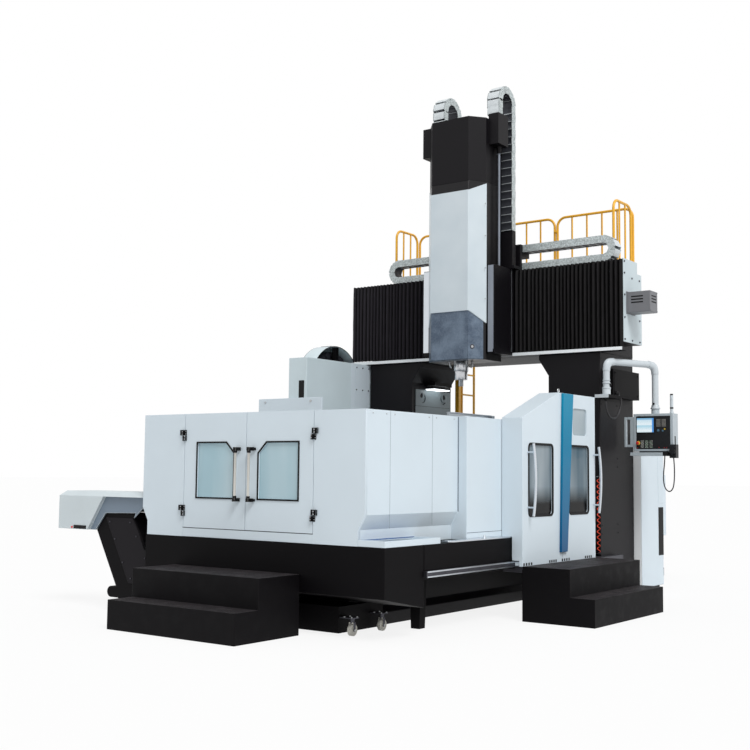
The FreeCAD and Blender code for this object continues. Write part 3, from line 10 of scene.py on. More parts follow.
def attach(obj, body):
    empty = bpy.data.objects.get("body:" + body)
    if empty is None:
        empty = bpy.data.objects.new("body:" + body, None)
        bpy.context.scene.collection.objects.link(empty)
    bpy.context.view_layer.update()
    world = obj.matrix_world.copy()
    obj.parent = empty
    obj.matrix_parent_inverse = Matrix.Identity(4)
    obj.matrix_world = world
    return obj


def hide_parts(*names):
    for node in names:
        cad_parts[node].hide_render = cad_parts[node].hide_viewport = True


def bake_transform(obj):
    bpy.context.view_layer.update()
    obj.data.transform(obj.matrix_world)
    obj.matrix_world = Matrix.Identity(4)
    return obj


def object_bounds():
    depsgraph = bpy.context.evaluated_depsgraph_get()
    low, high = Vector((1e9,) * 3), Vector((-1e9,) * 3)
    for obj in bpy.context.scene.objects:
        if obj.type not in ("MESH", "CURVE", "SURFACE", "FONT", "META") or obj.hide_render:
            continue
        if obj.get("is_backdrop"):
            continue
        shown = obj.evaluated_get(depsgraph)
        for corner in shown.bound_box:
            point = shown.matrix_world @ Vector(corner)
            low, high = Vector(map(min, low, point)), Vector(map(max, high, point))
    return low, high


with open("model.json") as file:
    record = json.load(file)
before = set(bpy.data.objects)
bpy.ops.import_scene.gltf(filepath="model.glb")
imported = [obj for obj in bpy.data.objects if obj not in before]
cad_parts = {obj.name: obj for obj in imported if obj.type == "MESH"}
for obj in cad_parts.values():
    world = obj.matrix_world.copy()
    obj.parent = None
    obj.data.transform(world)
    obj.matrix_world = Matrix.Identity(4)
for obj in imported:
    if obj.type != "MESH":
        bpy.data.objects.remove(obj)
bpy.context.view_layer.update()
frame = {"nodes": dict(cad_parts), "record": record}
solids = frame["nodes"]
body_of = {node: body for body, held in frame["record"]["behaviour"]["bodies"].items() for node in held}

# Camera: stands well off the machine's front right corner at head height and looks up a little, so
# that the front wall runs away to the left and the operator's side to the right.
CAMERA_PLACE = Vector((7.4355, -12.7877, 1.5))
CAMERA_TURN, CAMERA_RISE, CAMERA_LEAN = (math.radians(angle) for angle in (36.3565, 4.9219, 0.6084))
FOCAL_LENGTH = 53.97
level = Vector((math.cos(CAMERA_TURN), math.sin(CAMERA_TURN), 0))
ahead = Vector((-level.y, level.x, 0))
forward = ahead * math.cos(CAMERA_RISE) + Vector((0, 0, math.sin(CAMERA_RISE)))
upright = level.cross(forward)
across = level * math.cos(CAMERA_LEAN) + upright * math.sin(CAMERA_LEAN)
upward = upright * math.cos(CAMERA_LEAN) - level * math.sin(CAMERA_LEAN)
lens = bpy.data.cameras.new("camera")
lens.lens = FOCAL_LENGTH
lens.sensor_width = 36
lens.clip_end = 1000
camera = bpy.data.objects.new("camera", lens)
turned = Matrix((across, upward, -forward)).transposed().to_4x4()
camera.matrix_world = Matrix.Translation(CAMERA_PLACE) @ turned
bpy.context.scene.collection.objects.link(camera)
bpy.context.scene.camera = camera
bpy.context.scene.view_settings.view_transform = "Standard"


# Studio: a pale floor that runs out of sight, an even sky, and one broad lamp from the operator's
# side. Floor and sky turn white for the camera and in reflections alone, so the shadow stays.
SKY_LEVEL = 0.62
LAMP_LEVEL = 2.1
LAMP_FROM = Vector((0.6, -0.34, 0.78))
LAMP_SPREAD = math.radians(24)
FLOOR_REACH = 150
FLOOR_TONE = (0.8, 0.8, 0.8, 1)
FLOOR_LIFT = 0.86


class Signal:
    """One output of a material's nodes; arithmetic on it adds the nodes that work it out."""

    def __init__(self, socket):
        self.socket = socket

    def node(self, kind, settings, values, output=0):
        tree = self.socket.id_data
        made = tree.nodes.new(kind)
        for name, setting in settings.items():
            if name == "stops":
                made.color_ramp.elements.remove(made.color_ramp.elements[1])
                made.color_ramp.elements[0].position = setting[0][0]
                made.color_ramp.elements[0].color = setting[0][1]
                for position, colour in setting[1:]:
                    made.color_ramp.elements.new(position).color = colour
            else:
                setattr(made, name, setting)
        for key, value in values.items():
            if isinstance(value, Signal):
                tree.links.new(value.socket, made.inputs[key])
            else:
                made.inputs[key].default_value = value
        return Signal(made.outputs[output]) if made.outputs else None

    def arithmetic(self, operation, first, second):
        return self.node("ShaderNodeMath", {"operation": operation}, {0: first, 1: second})

    def __add__(self, other):
        return self.arithmetic("ADD", self, other)

    def __radd__(self, other):
        return self.arithmetic("ADD", other, self)

    def __sub__(self, other):
        return self.arithmetic("SUBTRACT", self, other)

    def __rsub__(self, other):
        return self.arithmetic("SUBTRACT", other, self)

    def __mul__(self, other):
        return self.arithmetic("MULTIPLY", self, other)

    def __rmul__(self, other):
        return self.arithmetic("MULTIPLY", other, self)

    def part(self, axis):
        """One coordinate of a place or a direction."""
        return self.node("ShaderNodeSeparateXYZ", {}, {0: self}, axis)

    def mixed(self, first, second):
        """The first colour where this is 0, the second where it is 1."""
        return self.node("ShaderNodeMix", {"data_type": "RGBA"}, {0: self, 6: first, 7: second}, 2)

    def ramped(self, low, high):
        """0 below low, 1 above high."""
        return self.node("ShaderNodeMapRange", {}, {0: self, 1: low, 2: high, 3: 0.0, 4: 1.0})


def new_finish(name):
    """An empty material, and the place on the machine that its pattern follows."""
    finish = bpy.data.materials.new(name)
    finish.use_nodes = True
    finish.node_tree.nodes.clear()
    return finish, Signal(finish.node_tree.nodes.new("ShaderNodeTexCoord").outputs["Object"])


def seen_directly(tree):
    """1 for what the camera sees, straight or in a gloss or through glass."""
    tree.nodes.clear()
    rays = Signal(tree.nodes.new("ShaderNodeLightPath").outputs["Is Camera Ray"])
    glossy = Signal(rays.socket.node.outputs["Is Glossy Ray"])
    through = Signal(rays.socket.node.outputs["Is Transmission Ray"])
    return rays.arithmetic("MAXIMUM", rays.arithmetic("MAXIMUM", rays, glossy), through)


floor_finish = new_finish("studio_floor")[0]
direct = seen_directly(floor_finish.node_tree)
matt = direct.node("ShaderNodeBsdfDiffuse", {}, {"Color": FLOOR_TONE})
white_light = direct.node("ShaderNodeEmission", {}, {"Color": (1, 1, 1, 1), "Strength": 1.0})
lifted = direct.node("ShaderNodeMixShader", {}, {0: direct * FLOOR_LIFT, 1: matt, 2: white_light})
direct.node("ShaderNodeOutputMaterial", {}, {"Surface": lifted})
ground = bpy.data.meshes.new("studio_floor")
corners = [(x * FLOOR_REACH, y * FLOOR_REACH, 0) for x, y in ((-1, -1), (1, -1), (1, 1), (-1, 1))]
ground.from_pydata(corners, [], [(0, 1, 2, 3)])
ground.materials.append(floor_finish)
floor = bpy.data.objects.new("studio_floor", ground)
bpy.context.scene.collection.objects.link(floor)
floor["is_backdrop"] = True

world = bpy.data.worlds.new("studio_sky")
bpy.context.scene.world = world
world.use_nodes = True
direct = seen_directly(world.node_tree)
sky_strength = direct * (1 - SKY_LEVEL) + SKY_LEVEL
sky = direct.node("ShaderNodeBackground", {}, {"Color": (1, 1, 1, 1), "Strength": sky_strength})
direct.node("ShaderNodeOutputWorld", {}, {"Surface": sky})
sun = bpy.data.lights.new("studio_lamp", "SUN")
sun.energy = LAMP_LEVEL
sun.angle = LAMP_SPREAD
lamp = bpy.data.objects.new("studio_lamp", sun)
lamp.rotation_euler = LAMP_FROM.to_track_quat("Z", "Y").to_euler()
bpy.context.scene.collection.objects.link(lamp)


# Cords: a black cable loops from the arm's foot back into the junction box, another from the
# pendant down to the hand wheel's socket, and a coiled red air hose hangs down the right column.
ARM_CABLE = [
    (1822, -590, 2395), (1824, -602, 2300), (1828, -560, 2205), (1832, -450, 2150), (1834, -325, 2172),
    (1840, -245, 2265), (1850, -225, 2360), (1838, -226, 2440), (1795, -228, 2465),
]
HAND_CABLE = [
    (2273, 60, 1725), (2269, 60, 1640), (2256, 60, 1540), (2252, 58, 1430), (2274, 56, 1335),
    (2329, 55, 1295), (2374, 56, 1340), (2388, 58, 1440), (2390, 60, 1540), (2388, 60, 1625),
    (2382, 60, 1700),
]
HOSE_AXIS = (1.68, -0.506)
HOSE_LOW = 0.585
HOSE_HIGH = 1.46
HOSE_COIL_RADIUS = 0.0165
HOSE_PITCH = 0.066
HOSE_RADIUS = 0.005
HOSE_STEPS = 12


def tone(red, green, blue):
    """A colour from its 0-255 display values."""
    return tuple((value / 255) ** 2.2 for value in (red, green, blue)) + (1.0,)


def shaded(colour, amount):
    """A colour made lighter or darker."""
    return tuple(channel * amount for channel in colour[:3]) + (1.0,)


def grain(place, size, depth=2.0):
    """Random cloudiness from 0 to 1, with spots of about this size in metres."""
    return place.node("ShaderNodeTexNoise", {}, {"Vector": place, "Scale": 1 / size, "Detail": depth})


def surface(place, colour, roughness, height=None, depth=0.001, **fixed):
    """The shader of a finish: what varies is a signal, what is the same all over is a number."""
    values = {"Base Color": colour, "Roughness": roughness}
    values.update({name.replace("_", " "): setting for name, setting in fixed.items()})
    if height:
        values["Normal"] = place.node("ShaderNodeBump", {}, {"Height": height, "Distance": depth})
    shader = place.node("ShaderNodeBsdfPrincipled", {}, values)
    place.node("ShaderNodeOutputMaterial", {}, {"Surface": shader})


def flexible(name, colour, roughness):
    """Cable jacket or hose wall: even plastic with a faint sheen and hand marks."""
    finish, place = new_finish(name)
    marks = grain(place, 0.03, 3)
    plastic = marks.mixed(shaded(colour, 0.8), shaded(colour, 1.15))
    surface(place, plastic, marks * 0.2 + roughness, grain(place, 0.002), 0.0002)
    return finish


def flexible_line(name, route, radius, finish, node):
    """A cable on one smooth curve, put in the place of its solid."""
    line = bpy.data.curves.new(name, "CURVE")
    line.dimensions = "3D"
    line.bevel_depth = radius
    line.bevel_resolution = 4
    line.use_fill_caps = True
    spline = line.splines.new("NURBS")
    spline.points.add(len(route) - 1)
    for point, spot in zip(spline.points, route):
        point.co = (*spot, 1)
    spline.order_u = 3
    spline.use_endpoint_u = True
    line.materials.append(finish)
    made = bpy.data.objects.new(name, line)
    bpy.context.scene.collection.objects.link(made)
    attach(made, body_of[node])
    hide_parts(node)
    return made


cable_jacket = flexible("cable_jacket", tone(34, 33, 36), 0.35)
hose_wall = flexible("hose_wall", tone(226, 74, 44), 0.3)
for node, spots, radius, length in (
    ("arm_cable", ARM_CABLE, 0.01, 0.76), ("hand_cable", HAND_CABLE, 0.007, 0.86)
):
    route = [Vector(spot) / 1000 for spot in spots]
    line = flexible_line(node + "_loop", route, radius, cable_jacket, node)
turns = (HOSE_HIGH - HOSE_LOW) / HOSE_PITCH
route = []
for step in range(int(turns * HOSE_STEPS) + 1):
    angle = 2 * math.pi * step / HOSE_STEPS
    x = HOSE_AXIS[0] + math.cos(angle) * HOSE_COIL_RADIUS
    y = HOSE_AXIS[1] + math.sin(angle) * HOSE_COIL_RADIUS
    route.append((x, y, HOSE_HIGH - step * HOSE_PITCH / HOSE_STEPS))
line = flexible_line("air_hose_coil", route, HOSE_RADIUS, hose_wall, "air_hose")


# Bed, table and way covers: a cast bed in black paint, a ground table of grey iron with seven
# T slots, and folded steel covers that step down along the ways at each end of it.
ROUND_AREA = 0.03  # of one facet of a bend, in square metres: larger faces are flats
ROUND_BEND = 32
SHARP_BEND = 40
SMOOTH_BEND = 50


def bend_at(side):
    """The angle between the two faces at an edge, in degrees; 0 at an open edge."""
    return math.degrees(side.calc_face_angle(0)) if len(side.link_faces) == 2 else 0.0


def piece(name, mesh, finishes, body, replaced=(), edge=0.0):
    """A finished piece from a mesh: edges are eased by the given radius, flats stay flat."""
    bmesh.ops.recalc_face_normals(mesh, faces=mesh.faces)
    round_face = mesh.faces.layers.int.new("round")
    for face in mesh.faces:
        bends = [bend_at(side) for side in face.edges]
        curved = any(1 < bend < ROUND_BEND for bend in bends)
        face[round_face] = int(curved and face.calc_area() < ROUND_AREA)
    if edge:
        sharp = [side for side in mesh.edges if bend_at(side) > SHARP_BEND]
        eased = bmesh.ops.bevel(
            mesh, geom=sharp, offset=edge, segments=2, profile=0.5, affect="EDGES", clamp_overlap=True
        )
        for face in eased["faces"]:
            face[round_face] = 1
    for face in mesh.faces:
        face.smooth = bool(face[round_face])
    for side in mesh.edges:
        side.smooth = len(side.link_faces) == 2 and bend_at(side) < SMOOTH_BEND
    data = bpy.data.meshes.new(name)
    mesh.to_mesh(data)
    mesh.free()
    for finish in finishes:
        data.materials.append(finish)
    made = bpy.data.objects.new(name, data)
    bpy.context.scene.collection.objects.link(made)
    if body:
        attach(made, body)
    if replaced:
        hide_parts(*replaced)
    return made


def softened(node, edge, finish, *others):
    """A node's own shape, edges eased; others are (finish, low, high) of parts in another finish."""
    mesh = bmesh.new()
    mesh.from_mesh(solids[node].data)
    bmesh.ops.remove_doubles(mesh, verts=mesh.verts, dist=1e-5)
    bmesh.ops.dissolve_limit(mesh, angle_limit=math.radians(0.5), verts=mesh.verts, edges=mesh.edges)
    for face in mesh.faces:
        face.material_index = 0
        centre = face.calc_center_median()
        for index, (_, low, high) in enumerate(others):
            if all(a <= c <= b for a, c, b in zip(low, centre, high)):
                face.material_index = index + 1
    finishes = [finish] + [other[0] for other in others]
    return piece(node + "_body", mesh, finishes, body_of[node], (node,), edge)


def facing_up(place, low, high):
    """1 on what faces up, 0 on what stands or hangs."""
    return place.node("ShaderNodeNewGeometry", {}, {}, "Normal").part("Z").ramped(low, high)


def coated(name, colour, roughness=0.42, cloud=0.05, peel=0.0003, dust=0.25, gloss=0.5):
    """Coated sheet or painted casting: faint clouds, orange peel, some dust on what faces up."""
    finish, place = new_finish(name)
    clouds = grain(place, 0.8, 4).ramped(0.3, 0.7)
    speckle = grain(place, 0.006, 1)
    settled = facing_up(place, 0.7, 1.0) * grain(place, 0.07, 5).ramped(0.35, 0.75) * dust
    paint = clouds.mixed(shaded(colour, 1 - cloud), shaded(colour, 1 + cloud))
    paint = settled.mixed(paint, tone(150, 148, 144))
    matt = speckle * 0.12 + (roughness - 0.06) + settled * 0.3
    surface(place, paint, matt, speckle, peel, Specular_IOR_Level=gloss)
    return finish


def stretched_grain(place, stretch, scale):
    """Random cloudiness drawn out by different amounts along the three axes."""
    drawn = place.node("ShaderNodeVectorMath", {"operation": "MULTIPLY"}, {0: place, 1: stretch})
    return place.node("ShaderNodeTexNoise", {}, {"Vector": drawn, "Scale": scale})


def brushed(name, colour, roughness, along, wear=0.3):
    """Steel drawn or ground one way: fine lines, and stains that dull it in clouds."""
    finish, place = new_finish(name)
    stretch = [400.0, 400.0, 400.0]
    stretch["xyz".index(along)] = 4.0
    lines = stretched_grain(place, stretch, 1.0)
    stains = grain(place, 0.25, 5).ramped(0.42, 0.75) * wear
    steel = stains.mixed(lines.mixed(shaded(colour, 0.82), shaded(colour, 1.12)), shaded(colour, 0.55))
    surface(place, steel, lines * 0.15 + roughness + stains * 0.3, lines, 0.0002, Metallic=1.0)
    return finish


black_sheet = coated("black_sheet", tone(11, 9, 12), 0.58, 0.2, 0.0006, 0.012, 0.1)
black_casting = coated("black_casting", tone(18, 16, 20), 0.52, 0.2, 0.0012, 0.012, 0.2)
ground_iron = brushed("ground_iron", tone(168, 172, 176), 0.32, "x", 0.5)
folded_steel = brushed("folded_steel", tone(176, 182, 188), 0.28, "x", 0.25)
softened("bed", 0.006, black_casting)
softened("table", 0.003, ground_iron)
softened("way_covers", 0.002, folded_steel)


# Conveyor housing and gutters: black troughs of folded sheet under the enclosure. The operator's
# side carries the door's slide rail, with two bright lips, and a silver runner on its top.
RAIL_BOLT_STEP = 0.21
FLUSH_BOLT = [(0, 0.008), (0.0012, 0.0075), (0.0012, 0.004), (0.0006, 0.004)]
RUNNER_FRONT = -3.69
RUNNER_REAR = -2.45


def add_block(mesh, low, high, index=0):
    """A box from its two corners; it becomes sheet, bar or key once its edges are eased."""
    xs, ys, zs = zip(low, high)
    spots = [mesh.verts.new((x, y, z)) for x in xs for y in ys for z in zs]
    for side in ((0, 1, 3, 2), (4, 6, 7, 5), (0, 4, 5, 1), (2, 3, 7, 6), (0, 2, 6, 4), (1, 5, 7, 3)):
        mesh.faces.new([spots[corner] for corner in side]).material_index = index


def blocks(name, finish, body, edge, corners):
    """A piece made of boxes alone, each given by its two corners."""
    mesh = bmesh.new()
    for low, high in corners:
        add_block(mesh, low, high)
    piece(name, mesh, [finish], body, (), edge)


def join_rings(mesh, near, far):
    """The faces between two rings of as many points each."""
    after = [(step + 1) % len(near) for step in range(len(near))]
    return [mesh.faces.new((near[i], near[j], far[j], far[i])) for i, j in enumerate(after)]


def add_turned(mesh, start, along, profile, sides=18):
    """A turned form: rings of (distance along the axis, radius), closed at both ends."""
    axis = Vector(along).normalized()
    side = axis.orthogonal().normalized()
    other = axis.cross(side)
    angles = [2 * math.pi * step / sides for step in range(sides)]
    rings = []
    spokes = [side * math.cos(angle) + other * math.sin(angle) for angle in angles]
    for distance, radius in profile:
        centre = Vector(start) + axis * distance
        rings.append([mesh.verts.new(centre + spoke * radius) for spoke in spokes])
    for near, far in zip(rings, rings[1:]):
        join_rings(mesh, near, far)
    mesh.faces.new(rings[0])
    mesh.faces.new(rings[-1])


def turnings(name, finish, body, edge, forms):
    """A piece made of turned forms alone, each given as for add_turned."""
    mesh = bmesh.new()
    for form in forms:
        add_turned(mesh, *form)
    piece(name, mesh, [finish], body, (), edge)


def add_screw(mesh, spot, along, radius):
    """A socket-head screw that stands on a face."""
    head = [(0.75, 1), (0.9, 0.86), (0.9, 0.5), (0.35, 0.45)]
    profile = [(-0.001, radius)] + [(radius * out, radius * share) for out, share in head]
    add_turned(mesh, spot, along, profile, 12)


def screws(name, finish, body, radius, places):
    """A piece made of equal screws alone, each given by its spot and its direction."""
    mesh = bmesh.new()
    for spot, along in places:
        add_screw(mesh, spot, along, radius)
    piece(name, mesh, [finish], body)


def add_formed(mesh, origin, along, out, across_plate, outline, low, high, index=0):
    """A plate cut to an outline in (along, out) and set between two places across it."""
    near = [mesh.verts.new(origin + along * a + out * b + across_plate * low) for a, b in outline]
    far = [mesh.verts.new(origin + along * a + out * b + across_plate * high) for a, b in outline]
    for face in [mesh.faces.new(near), mesh.faces.new(far)] + join_rings(mesh, near, far):
        face.material_index = index


ORIGIN, TO_RIGHT, TO_BACK, UPWARDS = (
    Vector(spot) for spot in ((0, 0, 0), (1, 0, 0), (0, 1, 0), (0, 0, 1))
)


bright_steel = brushed("bright_steel", tone(214, 220, 226), 0.22, "y", 0.15)
dark_steel = brushed("dark_steel", tone(86, 86, 92), 0.38, "y", 0.4)
screw_black = coated("screw_black", tone(20, 20, 22), 0.4, 0.1, 0.0002, 0.0, 0.3)
softened("front_housing", 0.005, black_sheet)
softened("side_gutters", 0.004, black_sheet)
softened("door_rails", 0.002, dark_steel)
lips = bmesh.new()
bolts = bmesh.new()
for side in (-1, 1):
    for low, high in ((0.541, 0.553), (0.586, 0.5985)):
        add_block(lips, (side * 1.689, -4.14, low), (side * 1.6902, -2.44, high))
    place_y = -4.05
    while place_y < -2.5:
        add_turned(bolts, (side * 1.689, place_y, 0.569), (side, 0, 0), FLUSH_BOLT, 12)
        place_y += RAIL_BOLT_STEP
piece("slide_rail_lips", lips, [bright_steel], "machine")
piece("slide_rail_bolts", bolts, [screw_black], "machine")
runner = bmesh.new()
outline = [
    (1.548, RUNNER_REAR), (1.655, RUNNER_REAR), (1.655, RUNNER_FRONT + 0.05), (1.62, RUNNER_FRONT),
    (1.548, RUNNER_FRONT),
]
add_formed(runner, ORIGIN, TO_RIGHT, TO_BACK, UPWARDS, outline, 0.8385, 0.852)
stop_pin = [(0, 0.02), (0.012, 0.02), (0.012, 0.012), (0.03, 0.012)]
add_turned(runner, (1.62, -3.02, 0.852), (0, 0, 1), stop_pin)
piece("gutter_runner", runner, [bright_steel], "machine", edge=0.002)
turnings("door_roller", screw_black, "machine", 0.001, [
    ((1.6, -2.452, 0.862), (1, 0, 0), [(0, 0.018), (0.005, 0.023), (0.05, 0.023), (0.055, 0.018)]),
    ((1.655, -2.452, 0.862), (1, 0, 0), [(0, 0.008), (0.012, 0.008)]),
])


# Coolant tank and casters: a black welded tank under the housing that rolls out on plated swivel
# casters with white nylon wheels.
nylon = coated("wheel_nylon", tone(226, 224, 214), 0.35, 0.06, 0.0003, 0.1)
plated = brushed("plated_steel", tone(188, 190, 192), 0.25, "z", 0.3)
softened(
    "coolant_tank",
    0.002,
    black_sheet,
    (dark_steel, (0.9815, -4.6, 0.0), (1.2, -3.9, 0.3)),
    (nylon, (1.0675, -4.6, 0.0), (1.1025, -3.9, 0.112)),
)
AXLE_NUT = [(0, 0.012), (0.006, 0.012), (0.008, 0.009)]
caster_bolts = bmesh.new()
for place_y in (-4.47, -4.01):
    for shift_x in (-0.06, 0.022):
        for shift_y in (-0.042, 0.042):
            add_screw(caster_bolts, (1.085 + shift_x, place_y + shift_y, 0.168), (0, 0, 1), 0.009)
    add_turned(caster_bolts, (1.112, place_y, 0.055), (1, 0, 0), AXLE_NUT, 6)
piece("caster_bolts", caster_bolts, [plated], "machine")


# Steps: black boxes of folded sheet, one before the front doors and one at the operator's doors,
# whose treads are covered with grit.
def gritted(name, colour):
    """Black sheet with a grit cover on what faces up, worn lighter in patches."""
    finish, place = new_finish(name)
    tread = facing_up(place, 0.7, 0.9)
    cells = place.node("ShaderNodeTexVoronoi", {}, {"Vector": place, "Scale": 90.0}, "Distance")
    grit = cells.ramped(0.1, 0.5)
    worn = grain(place, 0.12, 6).ramped(0.45, 0.8)
    sheet = grain(place, 0.008, 2).mixed(shaded(colour, 0.85), shaded(colour, 1.2))
    cover = (grit * 0.6 + worn * 0.5).mixed(tone(12, 11, 13), tone(56, 53, 55))
    bumps = grit * tread + grain(place, 0.005) * 0.2
    surface(place, tread.mixed(sheet, cover), 0.62 - worn * 0.12, bumps, 0.002, Specular_IOR_Level=0.12)
    return finish


step_finish = gritted("step_sheet", tone(13, 11, 14))
softened("front_steps", 0.004, step_finish)
softened("operator_steps", 0.004, step_finish)


# Enclosure walls: folded white sheet on black gutters, with joints between the panels, low sloping
# ledges, and thin guards along the bed behind the columns.
SEAM_WIDTH = 0.005
SEAM_PROUD = 0.0006
white_sheet = coated("white_sheet", tone(203, 215, 223), 0.42, 0.025, 0.0003, 0.04, 0.35)
joint_shadow = coated("joint_shadow", tone(72, 84, 100), 0.7, 0.05, 0.0002, 0.0, 0.2)
seam_shadow = coated("seam_shadow", tone(138, 148, 156), 0.7, 0.05, 0.0002, 0.0, 0.2)
HINGE_LOWS = (1.04, 1.79)
HINGE_FRONT = -4.786
hinge_faces = [
    (black_sheet, (-0.9, -4.8, low - 0.01), (0.9, -4.7675, low + 0.12)) for low in HINGE_LOWS
]


def narrowed(made, near, far, shift):
    """The outer edge of each hinge plate, drawn in to the width of the real ones."""
    for point in made.data.vertices:
        level = any(low - 0.006 < point.co.z < low + 0.116 for low in HINGE_LOWS)
        if level and point.co.y < -4.766 and near < abs(point.co.x) < far:
            point.co.x += math.copysign(shift, point.co.x)


narrowed(softened("front_walls", 0.005, white_sheet, *hinge_faces), 0.8755, 0.8885, -0.012)
softened("front_ledges", 0.004, white_sheet)
softened("side_wall_left", 0.004, white_sheet)
softened("side_wall_right", 0.004, white_sheet)
softened("rear_guards", 0.003, white_sheet)
seams = bmesh.new()
for side in (-1, 1):
    for place_y in (-4.387, -3.687):
        add_block(
            seams,
            (side * 1.434, place_y - SEAM_WIDTH / 2, 0.985 if place_y < -4 else 1.0),
            (side * (1.435 + SEAM_PROUD), place_y + SEAM_WIDTH / 2, 2.058),
        )
piece("wall_joints", seams, [seam_shadow], "machine")
cover_joints = bmesh.new()
add_block(cover_joints, (1.434, -3.227, 1.115), (1.444, -3.2245, 2.056))
add_block(cover_joints, (1.5395, -2.502, 0.8445), (1.541, -2.496, 2.056))
for low in (0.846, 0.905):
    add_block(cover_joints, (1.5395, -3.22, low), (1.541, -2.505, low + 0.0045))
piece("cover_joints", cover_joints, [joint_shadow], "machine")
blocks("wall_top_bar", folded_steel, "machine", 0.002, [
    ((1.405, -3.384, 2.0625), (1.432, -2.6, 2.09)),
    ((1.4, -3.384, 2.09), (1.452, -2.587, 2.1)),
    ((1.405, -2.6, 2.0625), (1.47, -2.56, 2.096)),
])
film = bmesh.new()
outline = [(1.38, -4.745), (1.47, -4.64), (1.47, -4.06), (1.38, -3.9)]
add_formed(film, ORIGIN, TO_RIGHT, TO_BACK, UPWARDS, outline, 0.8966, 0.8954)
film_blue = coated("film_blue", tone(0, 66, 128), 0.4, 0.1, 0.0004, 0.0, 0.1)
piece("tray_film", film, [film_blue], "machine")
screws("wall_screws", plated, "machine", 0.006, [
    ((side * 1.435, y, 2.03), (side, 0, 0))
    for y in (-4.66, -4.45, -4.32, -3.75, -3.62, -3.3) for side in (1, -1)
])


# Front doors: two hinged leaves of folded sheet. Each has a clear pane with one cut corner in a
# black rubber gasket, black hinge leaves with screws, and a steel grip between plastic ends.
WINDOW_SIDE = 0.655
WINDOW_MIDDLE = 0.165
WINDOW_LOW = 1.235
WINDOW_HIGH = 1.765
WINDOW_CUT = 0.1
DOOR_FACE = -4.767
PLATE_FACE = DOOR_FACE - 0.0025
GASKET = [(0.0, 0.0), (0.0, 0.006), (0.003, 0.009), (0.013, 0.009), (0.016, 0.006), (0.016, 0.0)]


def add_swept(mesh, path, section, facing, closed=False):
    """A strip bent along a flat path; its section is (outwards in that plane, towards facing)."""
    path = [Vector(spot) for spot in path]
    facing = Vector(facing)
    rings = []
    for step, here in enumerate(path):
        following = path[(step + 1) % len(path)]
        behind = (here - path[step - 1]).normalized() if step or closed else None
        ahead = (following - here).normalized() if step < len(path) - 1 or closed else None
        behind = behind or ahead
        ahead = ahead or behind
        side = (behind + ahead).normalized().cross(facing).normalized()
        reach = 1 / max(0.3, side.dot(behind.cross(facing).normalized()))
        rings.append([mesh.verts.new(here + side * reach * out + facing * up) for out, up in section])
    for near, far in list(zip(rings, rings[1:])) + ([(rings[-1], rings[0])] if closed else []):
        join_rings(mesh, near, far)
    if not closed:
        mesh.faces.new(rings[0])
        mesh.faces.new(rings[-1])


def glazed(name, colour, alpha, roughness=0.06, low=None, high=None, streak=0.25, gloss=0.6):
    """A clear sheet: tinted, a little dusty, with broad pale streaks, and black below low."""
    finish, place = new_finish(name)
    streaks = stretched_grain(place, (1.5, 1.5, 0.35), 2.0).ramped(0.35, 0.7)
    dusty = grain(place, 0.02, 5).ramped(0.5, 0.8)
    glass = (streaks * streak).mixed(colour, tone(240, 246, 248))
    if low is not None:
        rise = place.part("Z").ramped(low, high)
        glass = rise.mixed(tone(5, 5, 6), glass)
    surface(place, glass, dusty * 0.1 + roughness, Alpha=alpha, Specular_IOR_Level=gloss)
    return finish


